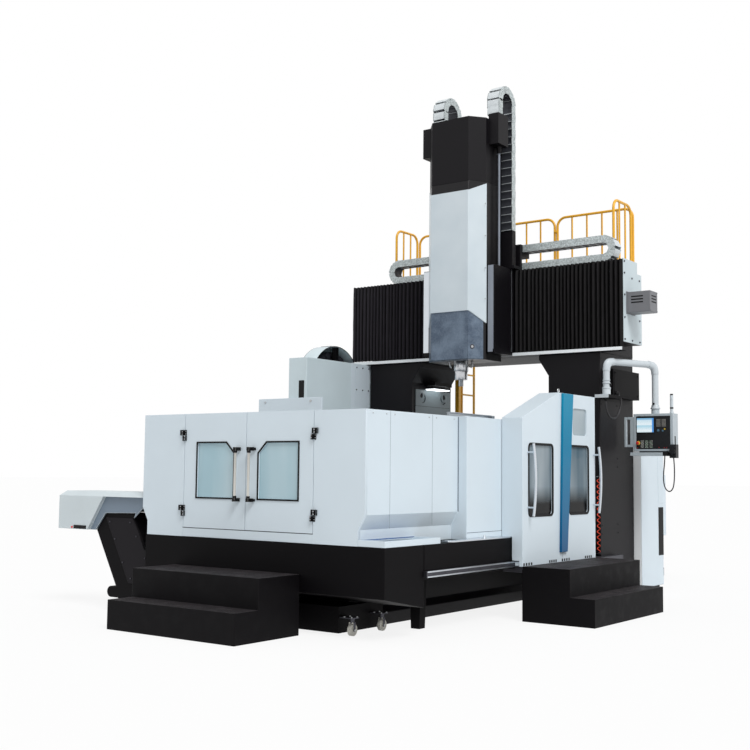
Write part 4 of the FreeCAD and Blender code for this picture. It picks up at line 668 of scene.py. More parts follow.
gasket_rubber = coated("gasket_rubber", tone(14, 14, 16), 0.6, 0.1, 0.0003, 0.0, 0.25)
front_pane = glazed("front_pane", tone(160, 192, 203), 0.86)
grip_steel = coated("grip_steel", tone(184, 182, 176), 0.25, 0.1, 0.0002, 0.0)
for side, name in ((-1, "left"), (1, "right")):
    pane_finishes = solids["front_glass_" + name].data.materials
    pane_finishes.clear()
    pane_finishes.append(front_pane)
    body = body_of["front_door_" + name]
    narrowed(softened("front_door_" + name, 0.003, white_sheet, *hinge_faces), 0.7995, 0.8085, 0.012)
    window = [
        (WINDOW_MIDDLE, WINDOW_LOW),
        (WINDOW_SIDE, WINDOW_LOW),
        (WINDOW_SIDE, WINDOW_HIGH),
        (WINDOW_MIDDLE + WINDOW_CUT, WINDOW_HIGH),
        (WINDOW_MIDDLE, WINDOW_HIGH - WINDOW_CUT),
    ]
    path = [(side * x, DOOR_FACE, z) for x, z in window]
    gasket = bmesh.new()
    add_swept(gasket, path if side > 0 else path[::-1], GASKET, (0, -1, 0), True)
    piece("window_gasket_" + name, gasket, [gasket_rubber], body)
    for inner, outer, holder in ((0.817, 0.838, body), (0.848, 0.869, "machine")):
        hinge_plates = bmesh.new()
        hinge_screws = bmesh.new()
        thin_from, thin_to = (0.057, 0.11) if holder == body else (0.0, 0.053)
        for low in HINGE_LOWS:
            corner = (side * inner, PLATE_FACE, low + thin_from)
            add_block(hinge_plates, corner, (side * outer, DOOR_FACE + 0.0005, low + thin_to))
            for rise in (0.018, 0.043, 0.068, 0.093):
                front = PLATE_FACE if thin_from < rise < thin_to else HINGE_FRONT
                middle = side * (inner + outer) / 2
                add_screw(hinge_screws, (middle, front, low + rise), (0, -1, 0), 0.0065)
        label = name + ("_leaf" if holder == body else "_post")
        piece("hinge_plates_" + label, hinge_plates, [black_sheet], holder)
        piece("hinge_screws_" + label, hinge_screws, [plated], holder)
    grip = side * 0.088
    softened(
        "front_handle_" + name,
        0.002,
        grip_steel,
        (gasket_rubber, (-1, -5, 1.19), (1, -4.7, 1.2352)),
        (gasket_rubber, (-1, -5, 1.6898), (1, -4.7, 1.73)),
    )
    knuckles = bmesh.new()
    for low, high in ((1.232, 1.256), (1.669, 1.693)):
        tall = high - low
        profile = [(0, 0.017), (0.002, 0.019), (tall - 0.002, 0.019), (tall, 0.015)]
        add_turned(knuckles, (grip, -4.827, low), (0, 0, 1), profile)
    for low in (1.201, 1.69):
        toe = grip + side * 0.017
        add_block(knuckles, (toe, -4.812, low + 0.006), (toe + side * 0.022, DOOR_FACE, low + 0.028))
        add_screw(knuckles, (toe + side * 0.011, -4.812, low + 0.017), (0, -1, 0), 0.006)
    piece("grip_ends_" + name, knuckles, [gasket_rubber], body, edge=0.002)
# Painted shade: a thin black strip in the gap under the doors, where their shadow falls.
blocks("door_gap_painted_shade", gasket_rubber, "machine", 0.0, [
    ((-0.846, -4.7675, 0.924), (0.846, -4.7668, 0.9295)),
])


# Operator doors: two tall sliding leaves with rounded windows in black gaskets, curved steel bars,
# a wedge-shaped blue trim, drain slots along the bottom and lifting eyes on top.
LEAF_FACE = 1.788
LEAF_GASKET = [
    (-0.004, -0.004), (-0.004, 0.004), (0.002, 0.007), (0.018, 0.007), (0.022, 0.003), (0.022, -0.004)
]
WINDOW_BEND = 0.04
EYE_FOOT = [(0, 0.013), (0.004, 0.013), (0.006, 0.007), (0.01, 0.006)]


def rounded(corners, radius, steps=4):
    """The corners of a flat outline, each turned into a small bend."""
    bent = []
    for index, corner in enumerate(corners):
        here = Vector(corner)
        before = (Vector(corners[index - 1]) - here).normalized() * radius
        after = (Vector(corners[(index + 1) % len(corners)]) - here).normalized() * radius
        for step in range(steps + 1):
            t = step / steps
            bent.append(here + before * (1 - t) ** 2 + after * t**2)
    return bent


side_pane = glazed("side_pane", tone(84, 104, 116), 0.93, 0.08, 1.18, 1.365, 0.3, 0.12)
upper_pane = glazed("upper_pane", tone(156, 169, 176), 0.95, 0.12, None, None, 0.2, 0.3)
blue_sheet, place = new_finish("blue_sheet")
fade = place.part("Z").ramped(0.7, 2.4)
trim_blue = fade.mixed(tone(0, 86, 132), tone(0, 136, 170))
trim_blue = (grain(place, 0.5) * 0.2).mixed(trim_blue, tone(4, 66, 108))
surface(place, trim_blue, fade * 0.08 + 0.28, grain(place, 0.003), 0.0002, Specular_IOR_Level=0.2)
softened("operator_door_front", 0.004, white_sheet)
softened("operator_door_rear", 0.004, white_sheet)
softened("blue_strip", 0.003, blue_sheet)
softened("operator_glass_front", 0.0, side_pane)
softened("operator_glass_rear", 0.0, side_pane, (upper_pane, (1.7, -1.5, 1.9), (1.8, -0.9, 2.3)))
for name, near, far, slot_spans, eye in (
    ("front", -2.4, -1.88, [(-2.531, -2.326), (-1.967, -1.779)], -1.7),
    ("rear", -1.47, -1.01, [(-1.674, -1.471), (-1.109, -0.919)], -0.905),
):
    body = body_of["operator_door_" + name]
    gasket = bmesh.new()
    corners = [(near, 1.07), (far, 1.07), (far, 1.8), (near, 1.8)]
    path = [(LEAF_FACE, y, z) for y, z in rounded(corners, WINDOW_BEND)]
    add_swept(gasket, path, LEAF_GASKET, (1, 0, 0), True)
    piece("leaf_gasket_" + name, gasket, [gasket_rubber], body)
    # The drain slots are black blocks of painted shade on the leaf's face.
    drain_slot_shade = bmesh.new()
    for start, end in slot_spans:
        for count in range(4):
            spot = start + 0.022 + (end - start - 0.044) * count / 3
            low = (LEAF_FACE - 0.001, spot - 0.015, 0.556)
            add_block(drain_slot_shade, low, (LEAF_FACE + 0.0008, spot + 0.015, 0.584))
    piece("leaf_drain_slots_" + name, drain_slot_shade, [gasket_rubber], body, edge=0.0003)
    eye_ring = bmesh.new()
    if name == "front":
        turn = [math.pi * step / 8 for step in range(16)]
        ring = [
            (1.77, eye + 0.018 * math.cos(angle), 2.408 + 0.018 * math.sin(angle)) for angle in turn
        ]
        wire = [(0.005 * math.cos(a), 0.005 * math.sin(a)) for a in (0, 1.05, 2.1, 3.14, 4.19, 5.24)]
        add_swept(eye_ring, ring, wire, (1, 0, 0), True)
    add_turned(eye_ring, (1.77, eye, 2.3795), (0, 0, 1), EYE_FOOT)
    piece("lifting_eye_" + name, eye_ring, [plated], body)
    softened("operator_handle_" + name, 0.0, bright_steel)


# Columns: two black-painted castings with sheet covers. The right one carries the air hose's
# fittings; the left one has a grey vent plate with two round holes towards the spindle.
vent_paint = coated("vent_paint", tone(112, 124, 128), 0.45, 0.08, 0.0006, 0.1)
softened("column_left", 0.008, black_casting, (vent_paint, (-1.02, -0.48, 2.38), (-0.995, 0.47, 2.62)))
softened("column_right", 0.008, black_casting, (plated, (1.65, -0.53, 0.5), (1.7, -0.483, 1.5)))
vent_collars = bmesh.new()
# The depth of each hole is a black disc of painted shade.
vent_bores_painted_shade = bmesh.new()
for place_y in (-0.265, 0.29):
    collar = [(0, 0.069), (0.0093, 0.069), (0.0098, 0.067), (0.0098, 0.036), (0.002, 0.034)]
    add_turned(vent_collars, (-1.0105, place_y, 2.531), (1, 0, 0), collar, 24)
    add_turned(vent_bores_painted_shade, (-1.0085, place_y, 2.531), (1, 0, 0), [(0, 0.034), (0.0012, 0.034)], 24)
add_block(vent_collars, (-1.0045, -0.404, 2.085), (-1.0025, 0.46, 2.3845))
piece("vent_collars", vent_collars, [vent_paint], "machine")
piece("vent_bores_painted_shade", vent_bores_painted_shade, [gasket_rubber], "machine")
cover_edges = bmesh.new()
for rise in (0.853, 1.64, 2.38):
    add_block(cover_edges, (1.6945, -0.47, rise - 0.003), (1.6958, 0.47, rise + 0.003))
    add_block(cover_edges, (-1.6958, -0.47, rise - 0.003), (-1.6945, 0.47, rise + 0.003))
piece("column_cover_joints", cover_edges, [gasket_rubber], "machine")
screws("column_cover_screws", screw_black, "machine", 0.007, [
    ((side * 1.695, y, z), (side, 0, 0))
    for z in (0.1, 0.8, 0.9, 1.59, 1.69, 2.33, 2.43, 2.88)
    for y in (-0.44, 0.0, 0.44) for side in (-1, 1)
])


# Beam: a black box casting across both columns with a bright ledge along its foot, pale end plates
# held by screws, and the traverse drive's grey slotted box at the operator's end.
ledge_white = coated("ledge_white", tone(240, 245, 248), 0.3, 0.03, 0.0003, 0.0)
end_paint = coated("end_paint", tone(190, 203, 208), 0.45, 0.06, 0.0004, 0.1)
motor_paint = coated("motor_paint", tone(112, 113, 117), 0.45, 0.1, 0.0005, 0.1)
softened("beam", 0.006, black_casting, (ledge_white, (-2.01, -0.535, 2.956), (2.01, -0.475, 2.998)))
softened("beam_end_plates", 0.003, end_paint)
softened("traverse_motor", 0.005, motor_paint)
END_SCREWS = [
    (-0.455, (3.09, 3.35, 3.62, 3.88, 4.02)), (-0.02, (3.09, 3.35, 3.62, 3.84)), (-0.24, (3.09, 3.84))
]
screws("end_plate_screws", dark_steel, "machine", 0.011, [
    ((side * 2.004, y, z), (side, 0, 0))
    for side in (-1, 1) for y, heights in END_SCREWS for z in heights
])
# The box's slots are black strips of painted shade on its faces.
slot_shade_strips = bmesh.new()
for rise in (3.525, 3.56, 3.595):
    add_block(slot_shade_strips, (2.063, -0.4012, rise - 0.008), (2.213, -0.3995, rise + 0.008))
    add_block(slot_shade_strips, (2.06, -0.18, rise - 0.008), (2.213, -0.1788, rise + 0.008))
    add_block(slot_shade_strips, (2.2993, -0.36, rise - 0.008), (2.3008, -0.22, rise + 0.008))
piece("motor_slots_painted_shade", slot_shade_strips, [gasket_rubber], "machine", edge=0.0004)
motor_trim = bmesh.new()
add_block(motor_trim, (2.0042, -0.408, 3.398), (2.016, -0.172, 3.662))
for place_y in (-0.385, -0.195):
    for rise in (3.42, 3.64):
        add_screw(motor_trim, (2.3, place_y, rise), (1, 0, 0), 0.006)
piece("motor_flange", motor_trim, [motor_paint], "machine", edge=0.002)


# Bellows: black coated cloth in narrow upright folds, hung between the beam's ends and the saddle.
CLOTH_FRONT = -0.5265
CLOTH_BACK = -0.4885
CLOTH_LOW = 3.004
CLOTH_HIGH = 4.043
CLOTH_THICK = 0.0022
FOLD_ROWS = 9
cloth_finish, place = new_finish("bellows_cloth")
weave = place.node("ShaderNodeTexVoronoi", {}, {"Vector": place, "Scale": 420.0}, "Distance")
rubbed = grain(place, 0.09, 4).ramped(0.45, 0.8)
# Painted shade: the cloth darkens to near black towards the back of the folds, in the creases.
crease_painted_shade = place.part("Y").ramped(CLOTH_BACK - 0.012, CLOTH_FRONT)
# Painted sheen: the cloth of the left bellows is painted lighter than the right.
left_painted_sheen = 1 - place.part("X").ramped(-0.2, 0.2)
cloth = (rubbed * 0.5).mixed(tone(13, 10, 13), tone(28, 25, 29))
cloth = (left_painted_sheen * 0.8).mixed(cloth, tone(42, 39, 46))
surface(
    place, crease_painted_shade.mixed(tone(8, 7, 9), cloth), 0.6 - rubbed * 0.1, weave, 0.0004,
    Specular_IOR_Level=0.2,
)
for name, fixed, moving, folds in (("left", -2.002, -0.49, 27), ("right", 2.002, 0.55, 26)):
    cloth_mesh = bmesh.new()
    random.seed(name)
    columns = []
    shares = [0.0]
    for fold in range(folds):
        shares.append(shares[-1] + random.uniform(0.78, 1.22))
    for fold in range(folds * 4 + 1):
        near = shares[fold // 4]
        far = shares[min(fold // 4 + 1, folds)]
        along = (near + (far - near) * (fold % 4) / 4) / shares[-1]
        swing = (0.0, 0.72, 1.0, 0.72)[fold % 4]
        column = []
        for row in range(FOLD_ROWS):
            rise = CLOTH_LOW + (CLOTH_HIGH - CLOTH_LOW) * row / (FOLD_ROWS - 1)
            sag = random.uniform(-0.0016, 0.0016) if 0 < fold < folds * 4 else 0.0
            tuck = 0.005 * swing if row in (0, FOLD_ROWS - 1) else 0.0
            deep = CLOTH_BACK + (CLOTH_FRONT - CLOTH_BACK) * swing + tuck
            rise -= 0.005 * (1 - swing) if row == FOLD_ROWS - 1 else 0.0
            column.append((fixed + (moving - fixed) * along + sag, deep, rise))
        columns.append(column)
    outer = [[cloth_mesh.verts.new(spot) for spot in column] for column in columns]
    inner = [
        [cloth_mesh.verts.new((x, y + CLOTH_THICK, z)) for x, y, z in column] for column in columns
    ]
    for step in range(len(outer) - 1):
        for row in range(FOLD_ROWS - 1):
            for here, following in ((outer[step], outer[step + 1]), (inner[step], inner[step + 1])):
                cloth_mesh.faces.new((here[row], following[row], following[row + 1], here[row + 1]))
        for row in (0, FOLD_ROWS - 1):
            cloth_mesh.faces.new(
                (outer[step][row], outer[step + 1][row], inner[step + 1][row], inner[step][row])
            )
    for step in (0, len(outer) - 1):
        for row in range(FOLD_ROWS - 1):
            cloth_mesh.faces.new(
                (outer[step][row], outer[step][row + 1], inner[step][row + 1], inner[step][row])
            )
    folded = piece(
        "bellows_folds_" + name, cloth_mesh, [cloth_finish], None,
        ("bellows_" + name,),
    )
    for polygon in folded.data.polygons:
        polygon.use_smooth = True
    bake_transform(folded)


# Platform, railings and ladder: a steel walkway along the top of the beam with bent yellow tube
# railings, and a ladder behind the left column.
yellow_tube = coated("yellow_tube", tone(232, 172, 46), 0.35, 0.08, 0.0003, 0.1)
walkway_plate = coated("walkway_plate", tone(140, 142, 146), 0.5, 0.1, 0.0012, 0.2)
softened("platform", 0.004, walkway_plate)
softened("railings", 0.0, yellow_tube)
softened("ladder", 0.0, yellow_tube)


# Saddle: a black casting that crosses on the beam, with the chain's brackets on top and bright
# strips of the ram's guide at its front corners.
softened("saddle", 0.006, black_casting)
softened("saddle_brackets", 0.004, black_casting)
# Painted light: the right-hand guide strips get a lighter, duller copy of the steel, against the shade
# they lie in.
guide_strip_painted_light = coated("guide_strip_painted_light", tone(134, 141, 152), 0.35, 0.12, 0.0004, 0.0)
blocks("guide_strips", guide_strip_painted_light, "saddle", 0.0006, [
    ((0.463, -1.0045, 3.005), (0.541, -1.0015, 4.04)),
    ((0.47, -1.015, 2.97), (0.532, -1.004, 3.3)),
])
blocks("guide_strip_left", bright_steel, "saddle", 0.0006, [
    ((-0.481, -1.0045, 3.005), (-0.403, -1.0015, 4.04)),
    ((-0.4895, -0.99, 3.1), (-0.4875, -0.9, 4.02)),
])
blocks("saddle_edge_strips", bright_steel, "saddle", 0.0004, [
    ((0.5475, -0.572, 3.005), (0.5495, -0.552, 4.048)),
    ((-0.4895, -0.572, 3.005), (-0.4875, -0.552, 4.048)),
])


# Ram: a mottled grey casting with cut corners that carries the spindle. A white cover is screwed to
# its front, and a black head with the balance rods' ears closes the top.
ram_finish, place = new_finish("ram_casting")
blotches = grain(place, 0.16, 6).ramped(0.35, 0.68)
scraped = grain(place, 0.02, 4).ramped(0.4, 0.75)
casting = blotches.mixed(tone(68, 82, 100), tone(106, 121, 138))
casting = (scraped * 0.35).mixed(casting, tone(118, 130, 144))
height = place.part("Z")
rear = place.part("Y").ramped(-1.046, -1.044)
above = height.ramped(4.3, 4.31)
casting = above.arithmetic("MAXIMUM", above, rear).mixed(casting, tone(17, 15, 19))
surface(place, casting, 0.36 + blotches * 0.12, scraped, 0.0006, Metallic=0.35)
cover_finish, place = new_finish("ram_cover_paint")
sheen = grain(place, 0.5, 3).ramped(0.35, 0.7)
cover_white = sheen.mixed(tone(194, 206, 213), tone(206, 216, 222))
surface(place, cover_white, sheen * 0.06 + 0.3, grain(place, 0.002), 0.0002)
softened("ram", 0.006, ram_finish)
cover = softened("ram_cover", 0.0, cover_finish)
COVER_DROPS = (0.12, 0.095)  # of its top and its foot, to where the real cover's edges are
for point in cover.data.vertices:
    point.co.z -= COVER_DROPS[0] if point.co.z > 4.5 else COVER_DROPS[1]
screws("cover_screws", plated, "ram", 0.008, [
    ((0.4535, -1.055, z), (1, 0, 0)) for z in (3.62, 4.0, 4.4, 4.8)
])
softened(
    "ram_head",
    0.004,
    black_casting,
    # painted light: the right balance rod takes the lightened strip finish
    (guide_strip_painted_light, (0.484, -0.817, 4.0), (0.518, -0.783, 5.5)),
    (bright_steel, (-0.458, -0.817, 4.0), (-0.424, -0.783, 5.5)),
)
lifting_hole = bmesh.new()
corner_facing = Vector((0.775, -0.632, 0))
hole_at = Vector((0.334, -1.1545, 3.03)) - corner_facing * 0.004
rim = [(0, 0.029), (0.007, 0.029), (0.009, 0.027), (0.009, 0.018), (0.005, 0.017)]
add_turned(lifting_hole, hole_at, corner_facing, rim, 24)
piece("lifting_hole_rim", lifting_hole, [dark_steel], "ram")
turnings("lifting_hole_plug", plated, "ram", 0.0, [
    (hole_at, corner_facing, [(0.004, 0.0155), (0.0075, 0.0155), (0.0075, 0.007), (0.006, 0.006)], 12),
])


# Spindle: a bright nose flange with screws, coolant nozzles round it, and the turned spindle with
# its drive keys and tool holder.
turned_steel = brushed("turned_steel", tone(206, 208, 212), 0.18, "z", 0.15)
softened("spindle_nose", 0.004, turned_steel)
softened("spindle", 0.0015, turned_steel)
SPINDLE_X, SPINDLE_Y = 0.03, -0.92
angles = [math.radians(22.5 + 45 * step) for step in range(8)]
screws("nose_screws", dark_steel, "ram", 0.006, [
    ((SPINDLE_X + 0.082 * math.cos(a), SPINDLE_Y + 0.082 * math.sin(a), 2.7605), (0, 0, -1))
    for a in angles
])
nozzles = bmesh.new()
for step in range(6):
    angle = math.radians(30 + 60 * step)
    out = Vector((math.cos(angle), math.sin(angle), 0))
    start = Vector((SPINDLE_X, SPINDLE_Y, 2.877)) + out * 0.14
    stem = [(0, 0.017), (0.012, 0.017), (0.014, 0.011), (0.04, 0.011)]
    add_turned(nozzles, start, -UPWARDS, stem, 12)
    tip = [(0, 0.013), (0.018, 0.013), (0.045, 0.006)]
    add_turned(nozzles, start - UPWARDS * 0.038, -UPWARDS - out * 0.45, tip, 12)
piece("coolant_nozzles", nozzles, [plated], "ram")


# Energy chains: galvanised links of two stamped side plates and pressed lids. One pair bends over
# from the saddle to the ram's head, the other lies in the beam's tray and runs to the saddle.
LINK_PITCH = 0.1
LINK_HALF_WIDTH = 0.087


def spangled(name, colour, contrast):
    """Zinc-coated sheet: small crystals of differing brightness, dulled by handling."""
    finish, place = new_finish(name)
    crystals = place.node("ShaderNodeTexVoronoi", {}, {"Vector": place, "Scale": 95.0}, "Color")
    bright = crystals.part("X")
    dull = grain(place, 0.05, 3).ramped(0.4, 0.75)
    zinc = bright.mixed(shaded(colour, 1 - contrast), shaded(colour, 1 + contrast * 0.4))
    surface(
        place, (dull * 0.3).mixed(zinc, shaded(colour, 0.6)), dull * 0.15 + 0.36, bright, 0.0003,
        Metallic=0.45,
    )
    return finish


chain_side = spangled("chain_side_plate", tone(196, 205, 206), 0.45)
chain_lid = spangled("chain_lid", tone(214, 221, 224), 0.1)
# Painted shade: the inner lids, which face the gap between a chain's two runs, get a dark copy of the
# zinc.
inner_lid_painted_shade = spangled("chain_inner_lid_painted_shade", tone(66, 68, 74), 0.12)
SIDE_PLATE = [
    (-0.058, -0.03), (-0.046, -0.0455), (0.046, -0.0455), (0.058, -0.03),
    (0.058, 0.03), (0.046, 0.0455), (-0.046, 0.0455), (-0.058, 0.03),
]
OUTER_LID = [
    (-0.046, 0.038), (0.046, 0.038), (0.046, 0.044), (0.03, 0.0472), (-0.03, 0.0472), (-0.046, 0.044)
]
INNER_LID = [
    (-0.047, -0.0465), (-0.04, -0.0465), (-0.026, -0.0395), (0.0, -0.0365), (0.026, -0.0395),
    (0.04, -0.0465), (0.047, -0.0465), (0.047, -0.034), (-0.047, -0.034),
]
CROSS_BAR = [(-0.054, -0.0475), (-0.047, -0.0475), (-0.047, -0.038), (-0.054, -0.038)]
PLATE_THICK = 0.0035
STUD = [(0, 0.009), (0.003, 0.009), (0.004, 0.006)]


def add_links(mesh, spots, across_link):
    """Links at (place, direction along, direction out): plates lap in turn, and each has two lids."""
    for count, (origin, along, out) in enumerate(spots):
        face_at = LINK_HALF_WIDTH - (PLATE_THICK if count % 2 else 0.0)
        for side in (-1, 1):
            edges = sorted((side * face_at, side * (face_at - PLATE_THICK)))
            add_formed(mesh, origin, along, out, across_link, SIDE_PLATE, *edges)
            outwards = across_link * side
            for shift in (-0.028, 0.028):
                stud_at = origin + outwards * (face_at - 0.002) + along * shift
                add_turned(mesh, stud_at, outwards, STUD, 8)
        inside = LINK_HALF_WIDTH - 0.0085
        for outline, index in ((OUTER_LID, 1), (INNER_LID, 2), (CROSS_BAR, 1)):
            add_formed(mesh, origin, along, out, across_link, outline, -inside, inside, index)


def chain_run(start, end, out):
    """Link places along a straight run, as evenly as whole links allow."""
    start = Vector(start)
    end = Vector(end)
    count = max(1, round((end - start).length / LINK_PITCH))
    along = (end - start).normalized()
    return [(start + (end - start) * (step + 0.5) / count, along, Vector(out)) for step in range(count)]


def chain_bend(centre, radius, first, second):
    """Link places round a half circle from the first direction through the second."""
    count = max(3, round(math.pi * radius / LINK_PITCH))
    spots = []
    for step in range(count):
        angle = math.pi * (step + 0.5) / count
        out = Vector(first) * math.cos(angle) + Vector(second) * math.sin(angle)
        along = Vector(second) * math.cos(angle) - Vector(first) * math.sin(angle)
        spots.append((Vector(centre) + out * radius, along, out))
    return spots


def chain_parts(label, name, node, across_link, parts):
    """The runs and the bend of one chain, each a piece of its own; the start and end of each part are
    not used.
    """
    for part, spots, start, end in parts:
        mesh = bmesh.new()
        add_links(mesh, spots, across_link)
        finishes = [chain_side, chain_lid, inner_lid_painted_shade]
        made = piece(
            "chain_%s_%s_%s" % (label, part, name), mesh, finishes, None, (node,)
        )
        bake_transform(made)


UPRIGHT_BEND = 0.161
UPRIGHT_TURN = 6.131
UPRIGHT_FOOT = 4.54
FAR_OFF = 1000  # an end far out on either side of a bend
for name, x, ram_end in (("right", 0.497, 5.956), ("left", -0.31, 5.896)):
    rising = chain_run((x, -0.573, UPRIGHT_FOOT + 0.001), (x, -0.573, UPRIGHT_TURN), (0, 1, 0))
    over = chain_bend((x, -0.734, UPRIGHT_TURN), UPRIGHT_BEND, (0, 1, 0), (0, 0, 1))
    falling = chain_run((x, -0.895, UPRIGHT_TURN), (x, -0.895, ram_end), (0, -1, 0))
    chain_parts("upright", name, "vertical_chains", TO_RIGHT, (
        ("saddle", rising, (x, -0.573, UPRIGHT_FOOT), (x, -0.573, 2 * UPRIGHT_TURN - UPRIGHT_FOOT)),
        ("bend", over, (x, -0.734, UPRIGHT_TURN - FAR_OFF), (x, -0.734, UPRIGHT_TURN + FAR_OFF)),
        ("ram", falling, (x, -0.895, 2 * UPRIGHT_TURN - ram_end), (x, -0.895, ram_end)),
    ))
LEVEL_BEND = 0.115
LEVEL_LOW = 4.1028
LEVEL_Y = -0.303
for name, side, turn, saddle_end in (("right", 1, 1.6975, 0.608), ("left", -1, -1.3075, -0.548)):
    fixed = side * 0.3
    middle = LEVEL_LOW + LEVEL_BEND
    high = LEVEL_LOW + 2 * LEVEL_BEND
    lower = chain_run((fixed, LEVEL_Y, LEVEL_LOW), (turn, LEVEL_Y, LEVEL_LOW), (0, 0, -1))
    bend = chain_bend((turn, LEVEL_Y, middle), LEVEL_BEND, (0, 0, -1), (side, 0, 0))
    upper = chain_run((turn, LEVEL_Y, high), (saddle_end + side * 0.002, LEVEL_Y, high), (0, 0, 1))
    chain_parts("level", name, "horizontal_chains", TO_BACK, (
        ("lower", lower, (fixed, LEVEL_Y, middle), (2 * turn - fixed, LEVEL_Y, middle)),
        ("bend", bend, (turn - FAR_OFF, LEVEL_Y, middle), (turn + FAR_OFF, LEVEL_Y, middle)),
        ("upper", upper, (2 * turn - saddle_end, LEVEL_Y, middle), (saddle_end, LEVEL_Y, middle)),
    ))


# Tool changer: a drum of tool pots in a round-backed sheet housing on the left column, with a long
# white cover towards the spindle, a screwed white panel and a sheet guard below it.
shell_paint = coated("shell_paint", tone(196, 210, 215), 0.42, 0.05, 0.0004, 0.04)
drum_paint = coated("drum_paint", tone(40, 40, 46), 0.4, 0.12, 0.0006, 0.1, 0.3)
softened("magazine_housing", 0.004, shell_paint)
softened("magazine_drum", 0.003, drum_paint)
softened("changer_guard", 0.004, white_sheet)
case_trims = bmesh.new()
for trim_x in (-2.2765, -2.0275):
    turn = [math.pi * step / 36 for step in range(72)]
    ring = [
        (trim_x, -0.825 + 0.5215 * math.cos(angle), 2.675 + 0.5215 * math.sin(angle)) for angle in turn
    ]
    strip = [(-0.008, -0.0025), (-0.008, 0.0025), (0.003, 0.0025), (0.003, -0.0025)]
    add_swept(case_trims, ring, strip, (1, 0, 0), True)
piece("drum_case_trims", case_trims, [gasket_rubber], "machine")
blocks("drum_case_bridge", black_sheet, "machine", 0.004, [
    ((-2.24, -0.905, 3.188), (-2.06, -0.745, 3.1995)),
    ((-2.06, -0.88, 2.96), (-2.03, -0.77, 3.19)),
    ((-2.04, -0.86, 2.99), (-2.022, -0.79, 3.17)),
])
blocks("changer_panels", white_sheet, "machine", 0.001, [
    ((-1.7195, -0.894, 2.248), (-1.7165, -0.8, 2.947)),
    ((-1.7195, -0.797, 2.248), (-1.715, -0.484, 2.947)),
])
screws("changer_panel_screws", dark_steel, "machine", 0.009, [
    ((-1.715, y, z), (1, 0, 0)) for y in (-0.775, -0.64, -0.506) for z in (2.29, 2.6, 2.9)
])
blocks("changer_hatch", gasket_rubber, "machine", 0.0008, [
    ((-1.85, -1.8165, 2.33), (-1.76, -1.8145, 2.655)),
    ((-1.842, -1.819, 2.34), (-1.834, -1.816, 2.645)),
    ((-1.776, -1.819, 2.34), (-1.768, -1.816, 2.645)),
])
guard_eye = bmesh.new()
boss = [(0, 0.018), (0.004, 0.018), (0.006, 0.01), (0.012, 0.01)]
add_turned(guard_eye, (-1.62, -1.85, 2.385), (0, -1, 0), boss)
add_screw(guard_eye, (-2.38, -1.85, 2.385), (0, -1, 0), 0.012)
piece("changer_guard_bolts", guard_eye, [plated], "machine")


# Work lamp: a flat black lamp on two arms at the inside of the left column, lit from below.
softened("work_lamp", 0.003, black_sheet)
glow, place = new_finish("lamp_glow")
surface(
    place, tone(236, 242, 244), 0.3, None, Emission_Color=tone(240, 246, 250), Emission_Strength=3.5
)
blocks("lamp_diffuser", glow, "machine", 0.002, [
    ((-0.985, -0.185, 2.6085), (-0.842, 0.185, 2.6195)),
])


# Electrical cabinet: a tall white steel cabinet behind the right column on a black plinth, with a
# black cooling unit on its back and a tall strip of louvres on its outer side.
# Painted light: the cabinet's front face gets a brighter copy of the white sheet, against the shade of
# the column in front of it.
painted_light_white = coated("cabinet_front", tone(246, 250, 252), 0.42, 0.02, 0.0003, 0.0)
softened(
    "electrical_cabinet",
    0.005,
    white_sheet,
    (painted_light_white, (1.095, 0.52, 0.1005), (1.777, 0.5262, 2.01)),
    (black_sheet, (1.15, 1.2155, 0.4), (1.76, 1.256, 1.1)),
    (black_sheet, (1.0, 0.5, -0.01), (1.75, 1.2, 0.0995)),
)
grille = bmesh.new()
for count, lowest, pitch, tall, near, far in (
    (12, 0.5, 0.046, 0.018, (1.22, 1.2515), (1.7, 1.2565)),
    (14, 1.24, 0.045, 0.016, (1.24, 1.2895), (1.68, 1.2925)),
    (18, 0.5, 0.032, 0.012, (1.7795, 1.07), (1.7825, 1.2)),
):
    for step in range(count):
        rise = lowest + step * pitch
        add_block(grille, (*near, rise), (*far, rise + tall))
add_block(grille, (1.7765, 1.056, 0.475), (1.78, 1.2145, 1.085))
piece("cooler_grille", grille, [gasket_rubber], "machine", edge=0.0015)
blocks("cooler_side", white_sheet, "machine", 0.0012, [
    ((1.7765, 1.052, 1.135), (1.78, 1.2135, 1.985)),
    ((1.7765, 0.53, 0.108), (1.779, 1.21, 0.295)),
])


# Pendant arm: white steel tube on a swivel at the column's junction box, with clamped elbows.
arm_paint = coated("arm_paint", tone(190, 198, 203), 0.38, 0.05, 0.0004, 0.04)
softened("arm_base", 0.004, black_sheet, (arm_paint, (1.765, -0.63, 2.39), (1.88, -0.52, 2.5)))
box_lid = bmesh.new()
add_block(box_lid, (1.7945, -0.3, 2.445), (1.7985, 0.41, 2.735))
for place_y in (-0.275, 0.385):
    for rise in (2.465, 2.715):
        add_screw(box_lid, (1.7985, place_y, rise), (1, 0, 0), 0.008)
piece("junction_box_lid", box_lid, [black_sheet], "machine", edge=0.0012)
turnings("cable_sockets", gasket_rubber, "machine", 0.0, [
    ((1.7935, -0.228, 2.465), (1, 0, 0), [(0, 0.034), (0.012, 0.034), (0.016, 0.026), (0.034, 0.02)]),
    ((1.822, -0.59, 2.3955), (0, 0, -1), [(0, 0.032), (0.014, 0.032), (0.018, 0.02), (0.045, 0.013)]),
])
ARM_FOOT = Vector((1.822, -0.575, 0))
ARM_REACH = Vector((0.302, 0.725, 0))
ARM_HEIGHT = 2.825
ARM_RADIUS = 0.041
along_arm = ARM_REACH.normalized()
arm_facing = along_arm.cross(UPWARDS)
ARM_LOW, ARM_END = 2.497, 2.2915
arm_outline = [
    (0, ARM_LOW), (0, ARM_HEIGHT), (ARM_REACH.length, ARM_HEIGHT), (ARM_REACH.length, ARM_END)
]


